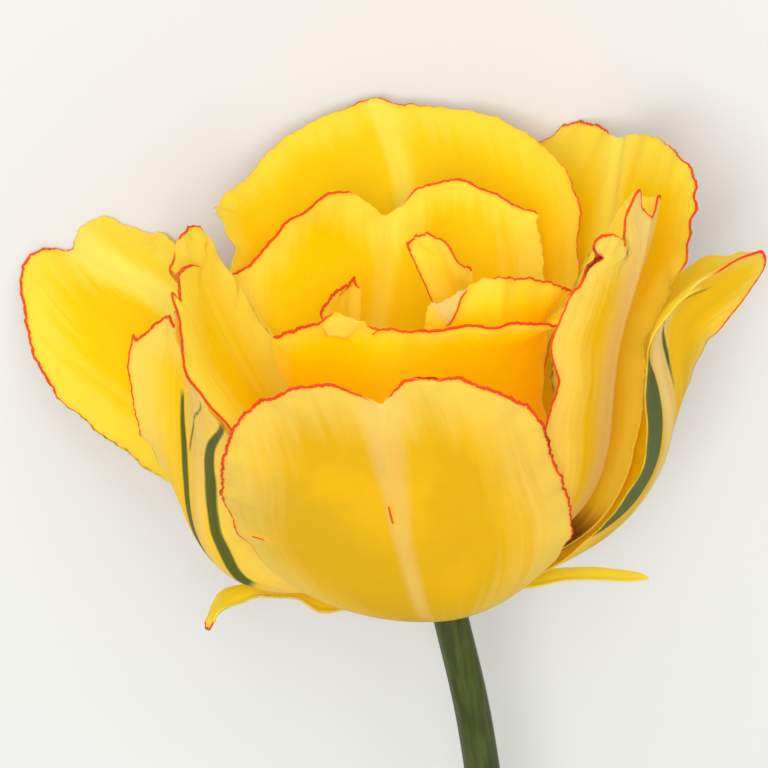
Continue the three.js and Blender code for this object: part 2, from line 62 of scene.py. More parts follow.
# Petals: sixteen thin waxy blades round one axis, yellow with a red rim. Each grows from its own
# step of the receptacle: the seat is its foot's distance from the axis and its height. Keys run
# from foot to crown, and the crown's and the rim's red keys from one margin round to the other.
PETALS = {
    "inner_petal_front": dict(
        azimuth=258, seat=(6, 0), length=66.5, half=(40.9, 30.9),
        lean=(84, 28, 30, 29, 29), sway=(0, 6, -4),
        cup=((56, 45, 19, 32), (76, 50, 50, 34)),
        spread=(0.28, 0.55, 0.74, 0.8, 0.76, 0.72),
        crown=(
            0.637, 0.658, 0.693, 0.738, 0.785, 0.832, 0.879, 0.919, 0.951, 0.978, 1.003, 1.029,
            1.043, 1.049, 1.041, 1.02, 0.975, 1.006, 1.034, 1.04, 1.031, 1.016, 0.996, 0.97,
            0.942, 0.915, 0.885, 0.853, 0.822, 0.79, 0.751, 0.712, 0.687,
        ),
        shoulders=(0.65, 0.68),
        red=(
            (0, 0, 0.05, 0.3, 0.7, 0.9, 1, 1, 1),
            (1, 1, 1, 1, 1, 1, 1, 0.9, 0.1, 0.9, 1, 1, 1, 1, 1, 1, 1),
            (1, 1, 1, 0.9, 0.6, 0.3, 0.1, 0, 0),
        ),
        midrib=(0, -0.7, -1.4, -1.9, -2.3, -2.3, -2.1, -1.3, 0),
        crease=0.7, pale=13, paleness=0.65, cream=0.45, fan=2,
        folds=(
            (((-3.2, 34.7), (-3.4, 37.4), (-3.5, 40.1)), 0, 0.8, 0),
            (((-25.9, 22.6), (-27.6, 22.2), (-28.9, 21.8)), 0, 0.8, 0),
        ),
    ),
    "outer_petal_right": dict(
        azimuth=-13, seat=(6, 2.2), length=72.6, half=(7.9, 12.1),
        lean=(84, 61.2, 29.7, 0.1, 72.4), sway=(5.5, -8, 7.2, 28.7), twist=(5.5, -10.7, -12.8, -21.7, -43),
        cup=((13.1, 24.4, -13.9, -60.6), (23.9, 69.2, 12.2, -39.8)),
        spread=(
            (
                0.28, 0.32, 0.37, 0.43, 0.5, 0.56, 0.7, 0.84, 0.91, 0.98, 1.07, 1.13, 1.18,
                1.16, 1.1, 1.07, 1.06, 1.06, 1.07, 1.04, 1.01, 1.05, 1.13, 1.06, 1.02,
            ),
            (0.28, 0.55, 0.86, 0.78, 1.23, 1.02),
        ),
        crown=(0.94, 0.92, 0.96, 1.03, 1.11, 1.14, 1.08, 0.93, 0.72),
        red=(0, (0, 0, 0, 0, 0.1, 0.3, 0.4, 0.6, 0.8, 1, 1, 1, 0.9, 0.7, 0.4, 0.3, 0.3), (0.3, 0.1, 0)),
        pale=4, paleness=0.5, cream=0.9,
        flames=(
            (
                0.24, 0.81, (-10.5, -9.8, -9.3, -7.95, -6.9, -6.5, -6.4, -7, -9.4),
                (1, 1.7, 2.2, 3.55, 4.6, 5, 5.1, 4.45, 2),
            ),
            (0.7, 0.87, (3.6, 2.5, 1.2, -0.9, -4), (0.15, 0.35, 0.6, 0.6, 0.3)),
            (0.85, 0.97, (-4.4, -0.4, 1.8), (0.25, 0.2, 0.15)),
        ),
        midrib=(0, 0, 1, 2, 2.5, 2.2, -0.5, -3.5, -5),
        rib_width=2.6, fan=0.6, wave=0.35,
    ),
    "outer_petal_left": dict(
        azimuth=175, seat=(6, 2.2), length=83.9, half=(13.6, 8.5),
        lean=(84, 75, -4, -6, 1), sway=(0, 14, 24), twist=(0, 33, 32, -10),
        cup=((36, 81, -44, -27), (58, 93, 53, 19)),
        spread=(0.28, 0.55, 0.89, 1.05, 1, 1.21),
        crown=(0.82, 0.82, 0.88, 0.89, 1.01, 1.02, 0.82, 0.68, 0.75),
        red=(
            (0, 0, 0, 0.1, 0.3, 0.4, 0.4, 0.5, 0.7),
            (0.9, 1, 1, 1, 1, 1, 0.9, 0.8, 0.5, 0.3, 0.2, 0.2, 0.2, 0.2, 0.2, 0.2, 0.2),
            (0.3, 0.2, 0),
        ),
        pale=9, paleness=0.8, cream=0.6, painted_light_through=0.5,
        flames=(
            (0.3, 0.79, (0.8, 3.1, 3.1, 2.7, 3.2, 7.6), (1.2, 1.05, 0.95, 1.1, 0.9, 0.5)),
            (0.25, 0.76, (-1.8, -2.8, -3.8, -4.6), (0.9, 0.9, 0.8, 0.4)),
            (0.64, 0.82, (-2.6, -0.6, 3.8), (0.2, 0.25, 0.2)),
        ),
    ),
    "side_petal_right": dict(
        azimuth=11, seat=(5.8, 3.3), length=77, half=(19, 26),
        lean=(82, 54, 31, 56, 97), sway=(0, 15, 7), twist=(0, -3, -16),
        cup=((32, 9, 13, 18), (35, 38, 9, 3)),
        spread=(0.28, 0.55, 0.92, 0.92, 0.99, 0.64),
        crown=(0.82, 0.83, 0.9, 0.9, 0.91, 0.88, 0.78, 0.81, 0.62),
        red=(0, (0.1, 0.15, 0.2, 0.2, 0.15, 0.1), 0),
        low=0.3, blotch=0.29, paleness=0.1, pale=5, cream=0.3,
    ),
    "inner_petal_left": dict(
        azimuth=110, seat=(5.8, 3.3), length=92.9, half=(17.1, 28),
        lean=(84, 49, 42, 47, 37), sway=(0, 38, 10), twist=(0, 24, -11, -6),
        cup=((59, 45, 37, 6), (37, 27, 11, -18)),
        spread=(
            (
                0.28, 0.34, 0.43, 0.52, 0.62, 0.73, 0.83, 0.89, 0.91, 0.92, 0.91, 0.89,
                0.85, 0.82, 0.8, 0.81, 0.81,
            ),
            (
                0.28, 0.36, 0.46, 0.58, 0.71, 0.83, 0.9, 0.92, 0.91, 0.9, 0.86, 0.82, 0.78,
                0.72, 0.69, 0.67, 0.67,
            ),
        ),
        crown=(
            0.81, 0.815, 0.821, 0.826, 0.832, 0.837, 0.855, 0.883, 0.906, 0.925, 0.935, 0.941,
            0.942, 0.942, 0.936, 0.924, 0.909, 0.922, 0.931, 0.937, 0.936, 0.926, 0.909, 0.882,
            0.857, 0.837, 0.818, 0.798, 0.775, 0.753, 0.746, 0.738, 0.73,
        ),
        red=(
            (0, 0, 0, 0, 0.1, 0.1, 0.1, 0.15, 0.15),
            (0.15, 0.12, 0.1, 0.1, 0.1, 0.1, 0.15, 0.2, 0.3, 0.6, 0.9, 1, 1, 1, 1, 0.8, 0.3),
            (0.25, 0.2, 0.1, 0, 0, 0, 0),
        ),
        painted_shade=0.15,
        midrib=(0, -1, -2.5, -4, -5.5, -6.2, -5.7, -2.5, 0),
        crease=0.5, pale=10, paleness=0.6, cream_inside=0.9, fan=1.8,
    ),
    "inner_petal_right": dict(
        azimuth=27, seat=(5.6, 4.4), length=80.4, half=(40.8, 27.6),
        lean=(82, 36, 21, 43, 28), sway=(0, 20, -1), twist=(0, 10, -10),
        cup=((67, 29, 31, 6), (64, 65, 28, 15)),
        spread=(
            (
                0.28, 0.36, 0.47, 0.55, 0.57, 0.56, 0.56, 0.56, 0.56, 0.6, 0.72, 0.87, 0.94,
                0.93, 0.9, 0.88, 0.88,
            ),
            (
                0.28, 0.35, 0.46, 0.54, 0.57, 0.57, 0.56, 0.56, 0.56, 0.57, 0.63, 0.76,
                0.89, 0.97, 0.98, 0.95, 0.93,
            ),
        ),
        crown=(
            0.86, 0.879, 0.897, 0.911, 0.921, 0.931, 0.942, 0.954, 0.963, 0.969, 0.973, 0.977,
            0.978, 0.976, 0.969, 0.959, 0.947, 0.949, 0.953, 0.955, 0.953, 0.951, 0.946, 0.94,
            0.933, 0.921, 0.906, 0.895, 0.852, 0.801, 0.736, 0.673, 0.63,
        ),
        red=(
            (0, 0, 0, 0, 0, 0, 0.4, 1, 1),
            (1, 1, 0.9, 0.7, 0.5, 0.3, 0.2, 0.1, 0.05, 0.6, 0.8, 0.9, 0.8, 0.5, 0.2, 0.1, 0),
            0,
        ),
        midrib=(0, -1, -3, -5, -7, -8, -7.4, -3.8, 0),
        crease=0.6, low=0, blotch=0.23, paleness=0.6, pale=11, cream_inside=0.5,
    ),
    "outer_petal_back": dict(
        azimuth=92, seat=(5.4, 5.5), length=78.3, half=(25.4, 33.6),
        lean=(80, 19, 31, 32, 25), sway=(0, -9, 15),
        cup=((71, 69, 46, 18), (58, 45, 59, 39)),
        spread=(
            (
                0.28, 0.35, 0.45, 0.54, 0.6, 0.64, 0.68, 0.72, 0.75, 0.79, 0.86, 0.97, 1.08,
                1.15, 1.16, 1.15, 1.14,
            ),
            (
                0.28, 0.38, 0.51, 0.6, 0.66, 0.71, 0.76, 0.81, 0.92, 1.07, 1.17, 1.18, 1.17,
                1.17, 1.19, 1.19, 1.15,
            ),
        ),
        crown=(
            0.683, 0.686, 0.689, 0.694, 0.7, 0.714, 0.727, 0.738, 0.75, 0.762, 0.773, 0.783,
            0.792, 0.803, 0.816, 0.828, 0.839, 0.851, 0.863, 0.876, 0.886, 0.895, 0.904, 0.913,
            0.922, 0.931, 0.939, 0.948, 0.957, 0.966, 0.975, 0.989, 1.011, 1.009, 1.009, 1.009,
            1.01, 1.012, 1.01, 1.008, 1.005, 1.001, 0.994, 0.985, 0.975, 0.965, 0.95, 0.936,
            0.927, 0.919, 0.911, 0.903, 0.896, 0.888, 0.876, 0.865, 0.857, 0.851, 0.845, 0.839,
            0.833, 0.828, 0.822, 0.816, 0.81,
        ),
        red=(
            (0, 0, 0, 0.1, 0.2, 0.25, 0.25, 0.25, 0.3),
            (0.3, 0.3, 0.25, 0.2, 0.2, 0.15, 0.15, 0.3, 0.5, 0.2, 0.2, 0.22, 0.2, 0.16, 0.13, 0.12, 0.1),
            0,
        ),
        midrib=(0, 0, 0, 0.5, 1, 1.3, 1.5, 0.4, 0),
        crease=0.7, pale=7, paleness=0.45, painted_shade=0.3, cream_inside=0.5, fan=0.8,
        flames=(
            (0.3, 0.8, (-2.5, -2.8, -3, -3), (0.8, 1, 1, 0.6)),
            (0.3, 0.8, (2.5, 2.8, 3, 3), (0.8, 1, 1, 0.6)),
        ),
    ),
    "third_petal_right": dict(
        azimuth=-26, seat=(5.2, 6.6), length=77.3, half=(16.7, 16.8),
        lean=(78, 49, 7, 20, 9), sway=(0, 13, 10), twist=(0, 13, -4),
        cup=((47, 60, 51, 18), (60, 66, 55, 49)),
        spread=(
            (
                0.28, 0.32, 0.37, 0.44, 0.5, 0.56, 0.62, 0.68, 0.74, 0.8, 0.85, 0.89, 0.93,
                0.96, 0.99, 1.02, 1.04, 1.01, 0.96, 0.95, 1.03, 1.09, 1.1, 1.08, 1.07,
            ),
            (0.28, 0.55, 0.83, 1, 1.03, 1.23),
        ),
        crown=(
            0.76, 0.765, 0.77, 0.772, 0.775, 0.779, 0.785, 0.804, 0.83, 0.88, 0.89, 0.895,
            0.896, 0.896, 0.897, 0.897, 0.896, 0.892, 0.886, 0.88, 0.872, 0.93, 0.965, 0.976,
            0.975, 0.952, 0.936, 0.927, 0.917, 0.91, 0.912, 0.922, 0.943, 0.943, 0.94, 0.933,
            0.925, 0.924, 0.922, 0.92, 0.918, 0.915, 0.911, 0.907, 0.903, 0.899, 0.897, 0.897,
            0.899, 0.899, 0.896, 0.887, 0.871, 0.845, 0.806, 0.756, 0.701, 0.646, 0.594, 0.551,
            0.52,
        ),
        shoulders=(0.74, 0.52),
        red=(
            (0, 0.2, 0.4, 0.4, 0.45, 0.5, 0.5, 0.35, 0.3),
            (0.9, 0.9, 0.9, 0.9, 0.7, 0.3, 0.7, 0.8, 0.3, 0.9, 0.4, 0.1, 0, 0, 0, 0, 0),
            0,
        ),
        folds_face=-1,
        folds=((((-6.6, 64.5), (-7.4, 66.6), (-9.9, 68.4), (-12.4, 69.3)), 0.9, 0.3, 0),),
        midrib=-1.5, rib_width=5, fan=1, pale=8, paleness=0.75, cream=0.8, wave=0.5,
        bites=(((-15.5, 65.2), (6, 0.9), 2.6), ((-9, 71.6), (3, 1.8), -1.5)),
    ),
    "third_petal_back": dict(
        azimuth=106, seat=(5, 6.6), length=65.4, half=(24.1, 27.9),
        lean=(76, 10, 7, 21, -30), sway=(0, -8, -4),
        cup=((69, 64, 36, 46), (62, 42, 16, 36)),
        spread=(
            (
                0.28, 0.35, 0.45, 0.55, 0.64, 0.72, 0.79, 0.82, 0.82, 0.84, 0.89, 0.95, 1,
                1.01, 1.02, 1.01, 1.01,
            ),
            (
                0.28, 0.35, 0.44, 0.53, 0.62, 0.7, 0.77, 0.81, 0.82, 0.83, 0.86, 0.91, 0.97,
                1, 1, 0.99, 0.98,
            ),
        ),
        crown=(
            0.85, 0.856, 0.862, 0.868, 0.874, 0.884, 0.897, 0.917, 0.932, 0.943, 0.952, 0.958,
            0.959, 0.951, 0.935, 0.89, 0.862, 0.901, 0.942, 0.973, 0.983, 0.981, 0.974, 0.953,
            0.92, 0.882, 0.84, 0.817, 0.795, 0.782, 0.775, 0.769, 0.765,
        ),
        red=(
            (0, 0, 0, 0, 0, 0.1),
            (0.35, 0.6, 0.7, 0.7, 0.7, 0.7, 0.6, 0.4, 0, 0.15, 0.8, 0.9, 0.9, 0.9, 0.9, 0.9, 0.8),
            (0.3, 0.1, 0),
        ),
        midrib=(0, 1, 2, 3.5, 3.8, 3.3, 0.9, -1, -1),
        crease=0.5, pale=8, paleness=0.8, cream_inside=0.3, fan=0.8,
    ),
    "third_petal_left": dict(
        azimuth=192, seat=(5, 7.7), length=71.7, half=(14.7, 24.1),
        lean=(76, 24, 20, 18, 9), sway=(0, 1, 13), twist=(0, -10, -24, -29),
        cup=((64, 56, 20, -8), (63, 52, 14, 7)),
        spread=(
            (
                0.28, 0.34, 0.43, 0.53, 0.63, 0.73, 0.82, 0.88, 0.91, 0.93, 0.93, 0.92,
                0.89, 0.88, 0.87, 0.86, 0.85,
            ),
            (
                0.28, 0.38, 0.52, 0.66, 0.81, 0.89, 0.92, 0.93, 0.9, 0.88, 0.86, 0.85, 0.85,
                0.85, 0.85, 0.85, 0.85,
            ),
        ),
        crown=(
            0.659, 0.67, 0.686, 0.694, 0.773, 0.766, 0.815, 0.865, 0.895, 0.909, 0.923, 0.938,
            0.954, 0.97, 0.981, 0.989, 0.998, 1.004, 1.009, 1.015, 1.021, 1.03, 1.033, 1.029,
            1.026, 1.023, 1.02, 0.954, 0.992, 0.934, 0.918, 0.906, 0.905, 0.905, 0.904, 0.902,
            0.895, 0.889, 0.883, 0.876, 0.87,
        ),
        red=(
            0, (0, 0, 0, 0, 0.05, 0.5, 0.6, 0.6, 0.6, 0.15, 0.4, 0.6, 0.8, 0.9, 0.9, 0.9, 0.9),
            (0.9, 0.7, 0.3, 0, 0),
        ),
        pale=13, paleness=0.75, low=0, cream_inside=0.1, crease=0.1, wave=0.6,
        folds=(
            (
                (
                    (12.2, 70.5), (11.4, 72.2), (9.5, 72.2), (6.4, 71.3), (3, 69.3), (0.3, 67),
                    (-2.4, 64.2),
                ),
                1.2, 1, 0,
            ),
            (((-8, 65.6), (-6.4, 65.8), (-5.3, 65.6), (-5.2, 64.6)), 0.4, 0.5, 0),
        ),
    ),
    "fourth_petal_front": dict(
        azimuth=270, seat=(4.6, 8.8), length=54.5, half=(19.6, 29.1),
        lean=(72, 13, 7, 22, 25), sway=(0, -10, 24),
        cup=((67, 70, 58, 4), (63, 72, 56, 31)),
        spread=(
            (
                0.28, 0.34, 0.44, 0.53, 0.62, 0.72, 0.8, 0.86, 0.88, 0.9, 0.92, 0.95, 0.98,
                1, 1, 0.99, 0.98,
            ),
            (
                0.28, 0.37, 0.5, 0.62, 0.75, 0.85, 0.9, 0.92, 0.96, 1.01, 1.04, 1.06, 1.07,
                1.09, 1.11, 1.11, 1.11,
            ),
        ),
        crown=(
            0.838, 0.839, 0.84, 0.846, 0.855, 0.865, 0.884, 0.907, 0.934, 0.972, 0.974, 0.973,
            0.965, 0.948, 0.946, 0.961, 0.969, 0.965, 0.983, 0.998, 1.001, 1.004, 0.998, 0.989,
            0.973, 0.944, 0.918, 0.898, 0.878, 0.859, 0.839, 0.82, 0.8,
        ),
        folds_face=-1, painted_light_through=0.9, low=0.15,
        red=(
            0,
            (
                0.7, 0.7, 0.8, 0.9, 1, 0.9, 0.6, 0.2, 0.1, 0.1, 0.4, 0.6, 0.7, 0.9, 0.9, 0.9, 1,
                1, 1, 1, 1, 0.9, 0.8, 0.6, 0.3,
            ),
            0,
        ),
        pale=4, paleness=0.4, cream=0.04,
        folds=(
            (
                (
                    (-13.4, 51.7), (-12.6, 50.5), (-11.6, 49.2), (-10.5, 49.4), (-9.3, 49.4),
                    (-8.1, 48.9),
                ),
                0.7, 0.25, 0.35,
            ),
            (((-4.9, 50), (-4.4, 51), (-3.7, 51.6)), 0.4, 0.6, 0),
        ),
    ),
    "fourth_petal_right": dict(
        azimuth=306, seat=(4.4, 9.9), length=51.1, half=(11.1, 20.2),
        lean=(66, 12, 3, 15, -6), sway=(0, 7, 18),
        cup=((64, 64, 65, 50), (62, 63, 56, 18)),
        spread=(
            (
                0.28, 0.36, 0.47, 0.58, 0.7, 0.82, 0.9, 0.96, 1, 1, 0.98, 0.97, 0.99, 1.01,
                1.01, 1.05, 1.05,
            ),
            (0.28, 0.34, 0.43, 0.53, 0.63, 0.73, 0.82, 0.89, 0.95, 0.99, 1, 1, 0.98, 0.97, 0.98, 1, 1.01),
        ),
        crown=(
            0.87, 0.877, 0.884, 0.891, 0.897, 0.908, 0.922, 0.937, 0.954, 0.968, 0.981, 0.987,
            0.987, 0.981, 0.982, 0.973, 0.965, 0.955, 0.942, 0.929, 0.918, 0.907, 0.807, 0.688,
            0.604,
        ),
        folds_face=-1,
        red=(0, (0, 0, 0, 0.1, 0.5, 0.6, 0.6, 0.6, 0.5), (0.2, 0)),
        painted_light_through=1, low=0.1, pale=5, paleness=0.4, cream=0.05,
        folds=(
            (
                (
                    (-8.8, 41.9), (-7.9, 42.7), (-7.4, 44), (-7, 45.4), (-6.8, 46.6), (-6, 48.1),
                    (-5.2, 48.9),
                ),
                0.8, 0.6, 0.9,
            ),
        ),
    ),
    "heart_petal_right": dict(
        azimuth=56, seat=(4.2, 10.78), length=51.8, half=(8.3, 6),
        lean=(50, 22, 5, -16, -11), sway=(0, -4, 12),
        cup=((61, 59, 48, 38), (61, 59, 54, 54)),
        spread=(
            (
                0.28, 0.37, 0.49, 0.61, 0.74, 0.85, 0.93, 0.98, 1.01, 1.03, 1, 0.89, 0.76,
                0.72, 0.72, 0.78, 0.86,
            ),
            (
                0.28, 0.4, 0.55, 0.71, 0.86, 0.95, 1, 1.03, 0.99, 0.84, 0.72, 0.72, 0.72,
                0.72, 0.72, 0.72, 0.72,
            ),
        ),
        crown=(
            0.885, 0.885, 0.884, 0.884, 0.884, 0.883, 0.883, 0.884, 0.898, 0.949, 0.972, 0.985,
            0.998, 0.998, 0.999, 0.999, 1, 0.997, 0.993, 0.989, 0.985, 0.98, 0.976, 0.966,
            0.955,
        ),
        red=(0, (0.5, 0.4, 0.3, 0.35, 0.5, 0.6, 0.7, 0.8, 0.9), (0.5, 0.2, 0)),
        pale=5, paleness=0.7, low=0.1,
    ),
    "heart_petal_left": dict(
        azimuth=150, seat=(4.2, 10.78), length=45.2, half=(2, 14.2),
        lean=(50, 15, 2, 0, -9), sway=(0, -2, -4),
        cup=((60, 60, 58, 49), (62, 60, 46, 11)),
        spread=(
            (
                0.28, 0.39, 0.54, 0.68, 0.83, 0.93, 0.99, 1.01, 1.01, 0.99, 0.96, 0.95,
                0.95, 0.95, 0.98, 1.09, 1.14,
            ),
            (
                0.28, 0.39, 0.54, 0.69, 0.84, 0.93, 0.99, 1.01, 1, 0.98, 0.96, 0.95, 0.95,
                0.95, 0.91, 0.83, 0.83,
            ),
        ),
        crown=(
            0.93, 0.939, 0.947, 0.956, 0.967, 0.993, 0.991, 0.987, 0.985, 0.989, 0.991, 0.987,
            0.978, 0.97, 0.962, 0.953, 0.945,
        ),
        red=(0, (0, 0.3, 0.9, 0.9, 0.9, 0.9, 0.9, 0.7, 0.4), (0.3, 0)),
        pale=5, low=0.1,
        folds=((((0.2, 44.5), (2.7, 43.9), (4.6, 43.6), (4.6, 42.4)), 0.5, 0.7, 0),),
    ),
    "reflexed_petal_left": dict(
        azimuth=175, seat=(6.2, 1.1), length=33.4, half=(10, 2),
        lean=(88, 102, 68, 81, 122), sway=(0, -8, 41),
        cup=((-50, -29), (11, 16)),
        spread=(0.8, 1, 0.9, 1.07, 0.82),
        crown=(0.71, 0.83, 0.96, 1.02, 1.07, 1.04, 1, 0.8, 0.64),
        red=(0, (0, 0, 0.1, 0.4, 0.8, 0.4, 0, 0, 0), 0),
        pale=3, cream=0.3,
    ),
    "reflexed_petal_right": dict(
        azimuth=-7, seat=(6.2, 1.1), length=25.8, half=(2, 5.5),
        lean=(88, 88, 86, 98, 92), sway=(0, -2, -4),
        cup=((0, 8), (2, 12)),
        spread=(1, 1, 0.91, 0.59, 0.52),
        crown=(0.62, 0.82, 0.92, 0.97, 1.02, 0.98, 0.92, 0.81, 0.6),
        red=(0, 0, 0),
        wave=0.2, pale=3, cream=0.3,
    ),
}
# The usual values also set painted shade on the inside, deeper at the foot or over a whole petal, and
# painted light on the outer face, as if lit through.
USUAL_PETAL = dict(
    midrib=0, crease=0.35, wave=1, folds=(), folds_face=1, flames=(), low=0.5, painted_shade=0.0, painted_light_through=0.0,
    pale=7.0, paleness=0.5, rib_width=1.2, fan=3.0, cream=0.35, cream_inside=0.2, blotch=0.14,
)
BASE = np.array((2.6, 86.6, 40.7))  # where the petals' base lies over the surface
AXIS_RISE = math.radians(7)  # how steeply the bloom's axis climbs
PETAL_THICKNESS = 0.62
MARGIN_THICKNESS = 0.3
MARGIN_WIDTH = 7  # from its rim to here a petal grows to its full thickness
TEETH, TEETH_LENGTHS, TEETH_REACH = (0.08, 0.12, 0.1), (1.1, 2.3, 4.7), 0.8
TEETH_CENTRE = 0.55  # of a petal's length: the teeth point away from there
WAVES, WAVE_LENGTHS, WAVE_REACH = (0.3, 0.25), (13, 7.3), 3.5
CREASE_WIDTH = 1.1
FOOT = -0.035  # a petal's foot reaches this far back, into the receptacle
CROWDING = 1.25  # how much the rows of cells crowd towards the crown
SPINE_STEPS = 40
CURL_STEPS = 12
FOLD_ENDS = 0.2  # of its length, where a fold runs out
FOLD_STEP, FOLD_FADE = (-0.2, 0.25), 2.5
FAR_OUTSIDE = -9.0
MILLIMETRE = 0.001  # in metres


def smooth(keys, t):
    """A smooth value on evenly spaced keys, for t from 0 to 1. A lone number is constant."""
    t = np.asarray(t, float)
    if np.ndim(keys) == 0:
        return np.full_like(t, keys)
    keys = np.asarray(keys, float)
    last = len(keys) - 1
    place = np.clip(t, 0, 1) * last
    i = np.minimum(place.astype(int), last - 1)
    f = place - i
    start_slope = (keys[i + 1] - keys[np.maximum(i - 1, 0)]) / 2
    end_slope = (keys[np.minimum(i + 2, last)] - keys[i]) / 2
    rise = keys[i + 1] - keys[i]
    bow = (3 * rise - 2 * start_slope - end_slope) * f**2
    return keys[i] + start_slope * f + bow + (start_slope + end_slope - 2 * rise) * f**3


def ease(value, start, end):
    """0 at the start, 1 at the end, and smooth between them."""
    x = np.clip((np.asarray(value, float) - start) / (end - start), 0, 1)
    return x * x * (3 - 2 * x)


def spine_of(blade):
    """The midrib: where it runs, and which way its side and its inner face point."""
    t = np.linspace(0, 1, SPINE_STEPS + 1)
    lean, sway, twist = (np.radians(smooth(blade.get(key, 0), t)) for key in ("lean", "sway", "twist"))
    along = np.stack((np.sin(lean) * np.cos(sway), np.sin(sway), np.cos(lean) * np.cos(sway)), 1)
    level = np.stack((-np.sin(lean) * np.sin(sway), np.cos(sway), -np.cos(lean) * np.sin(sway)), 1)
    face = np.cross(along, level)
    turn, rest = np.sin(twist)[:, None], np.cos(twist)[:, None]
    steps = along * blade["length"] / SPINE_STEPS
    steps[0] = 0
    return np.cumsum(steps, 0), level * rest + face * turn, face * rest - level * turn


def bend(blade, spine, a, b, lift=0):
    """Bends the flat blade: its length follows the midrib, and its width curls round it."""
    t = b / blade["length"]
    place = t * SPINE_STEPS
    i = np.clip(place.astype(int), 0, SPINE_STEPS - 1)
    f = (place - i)[:, None]
    middle, side, inner = (row[i] * (1 - f) + row[i + 1] * f for row in spine)
    half = np.where(a < 0, *blade["half"])
    cup = np.radians(np.where(a < 0, *(smooth(keys, t) for keys in blade["cup"])))
    reach = np.abs(a) / half
    out = np.zeros_like(a)
    up = np.zeros_like(a)
    for k in range(CURL_STEPS):
        x = reach * (k + 0.5) / CURL_STEPS
        out += np.cos(cup * x) * half * reach / CURL_STEPS
        up += np.sin(cup * x) * half * reach / CURL_STEPS
    return middle + side * (np.sign(a) * out)[:, None] + inner * (up + lift)[:, None]


def square_to(surface, a, b):
    """The directions square to a surface that is a function of the flat blade."""
    slope_across = surface(a + 0.2, b) - surface(a - 0.2, b)
    slope_along = surface(a, b + 0.2) - surface(a, b - 0.2)
    normal = np.cross(slope_along, slope_across)
    return normal / np.linalg.norm(normal, axis=1)[:, None]


def laid_down(points):
    """Turns the upright flower over onto the surface."""
    turn = AXIS_RISE - math.pi / 2
    x, y, z = points.T
    lying = (x, y * math.cos(turn) - z * math.sin(turn), y * math.sin(turn) + z * math.cos(turn))
    return np.stack(lying, 1) + BASE


def stood(points, blade):
    """Moves a blade's points out to its seat and round to its place."""
    turn = math.radians(blade["azimuth"])
    x, y, z = (points + np.array((blade["seat"][0], 0, blade["seat"][1]))).T
    return np.stack((x * math.cos(turn) - y * math.sin(turn), x * math.sin(turn) + y * math.cos(turn), z), 1)


def flat_pattern(blade, across, along):
    """A blade's outline laid flat, in millimetres either side of its midrib and up from its foot.

    Each of its bites shifts the pattern sideways round a point, for a nick or a lobe of the rim.
    """
    length, crown = blade["length"], blade["crown"]
    b = length * along * smooth(crown, (across + 1) / 2)
    spread = blade["spread"]
    if np.ndim(spread[0]) == 0:
        spread = (spread, spread)
    shoulders = blade.get("shoulders", (crown[0], crown[-1]))
    sides = zip(blade["half"], spread, shoulders)
    widths = [half * smooth(keys, b / length / top) for half, keys, top in sides]
    a = np.where(across < 0, *widths) * np.sin(across * math.pi / 2)
    for (x, y), (reach_across, reach_along), shift in blade.get("bites", ()):
        a = a + shift * np.exp(-(((a - x) / reach_across) ** 2) - ((b - y) / reach_along) ** 2)
    return a, b


RIM_POINTS = 600  # on each of the two margins and the crown


def rim_of(blade, a, b):
    """For points of the flat blade: how far the rim is, how red it is there, and where it is."""
    step = np.linspace(0, 1, RIM_POINTS)
    parts = ((step * 0 - 1, step), (step * 2 - 1, step * 0 + 1), (step * 0 + 1, 1 - step))
    edge = np.concatenate([np.stack(flat_pattern(blade, *part), 1) for part in parts])
    red = np.concatenate([smooth(keys, step) for keys in blade.get("red", (0, 0, 0))])
    run = np.concatenate(((0,), np.cumsum(np.linalg.norm(np.diff(edge, axis=0), axis=1))))
    tree = KDTree(len(edge))
    for number, (x, y) in enumerate(edge):
        tree.insert((x, y, 0), number)
    tree.balance()
    found = [tree.find((x, y, 0)) for x, y in zip(a, b)]
    nearest = np.array([number for place, number, distance in found])
    return np.array([distance for place, number, distance in found]), red[nearest], run[nearest]


def fold_at(folds, a, b):
    """Beside a petal's small folds: the step up, the distance from the line, its red and its cream."""
    lift = np.zeros_like(a)
    gap = np.full(len(a), FAR_OUTSIDE)
    red = np.zeros_like(a)
    cream = np.zeros_like(a)
    for line, height, redness, creaminess in folds:
        line = np.array(line, float)
        nearest, station = np.full(len(a), np.inf), np.zeros_like(a)
        for k, (start, end) in enumerate(zip(line[:-1], line[1:])):
            step, reach = end - start, np.stack((a, b), 1) - start
            share = np.clip(reach @ step / (step @ step), 0, 1)
            away = reach - share[:, None] * step
            side = np.sign(step[0] * reach[:, 1] - step[1] * reach[:, 0])
            distance = np.hypot(*away.T)
            closer = distance < np.abs(nearest)
            nearest = np.where(closer, distance * side, nearest)
            station = np.where(closer, (k + share) / (len(line) - 1), station)
        ends = ease(np.minimum(station, 1 - station), 0, FOLD_ENDS)
        lift += height * ends * ease(nearest, *FOLD_STEP) * np.exp(-np.maximum(nearest, 0) / FOLD_FADE)
        closer = np.abs(nearest) < np.abs(gap)
        gap = np.where(closer, nearest, gap)
        red = np.where(closer, redness * ends, red)
        cream = np.where(closer, creaminess * ends, cream)
    return lift, gap, red, cream


def rim_waves(blade, run, sizes, lengths):
    """Uneven waves along a rim, each a size and a length in millimetres."""
    phases = np.random.RandomState(blade["seed"]).uniform(0, 2 * math.pi, len(sizes))
    return sum(s * np.sin(2 * math.pi * run / w + p) for s, w, p in zip(sizes, lengths, phases))


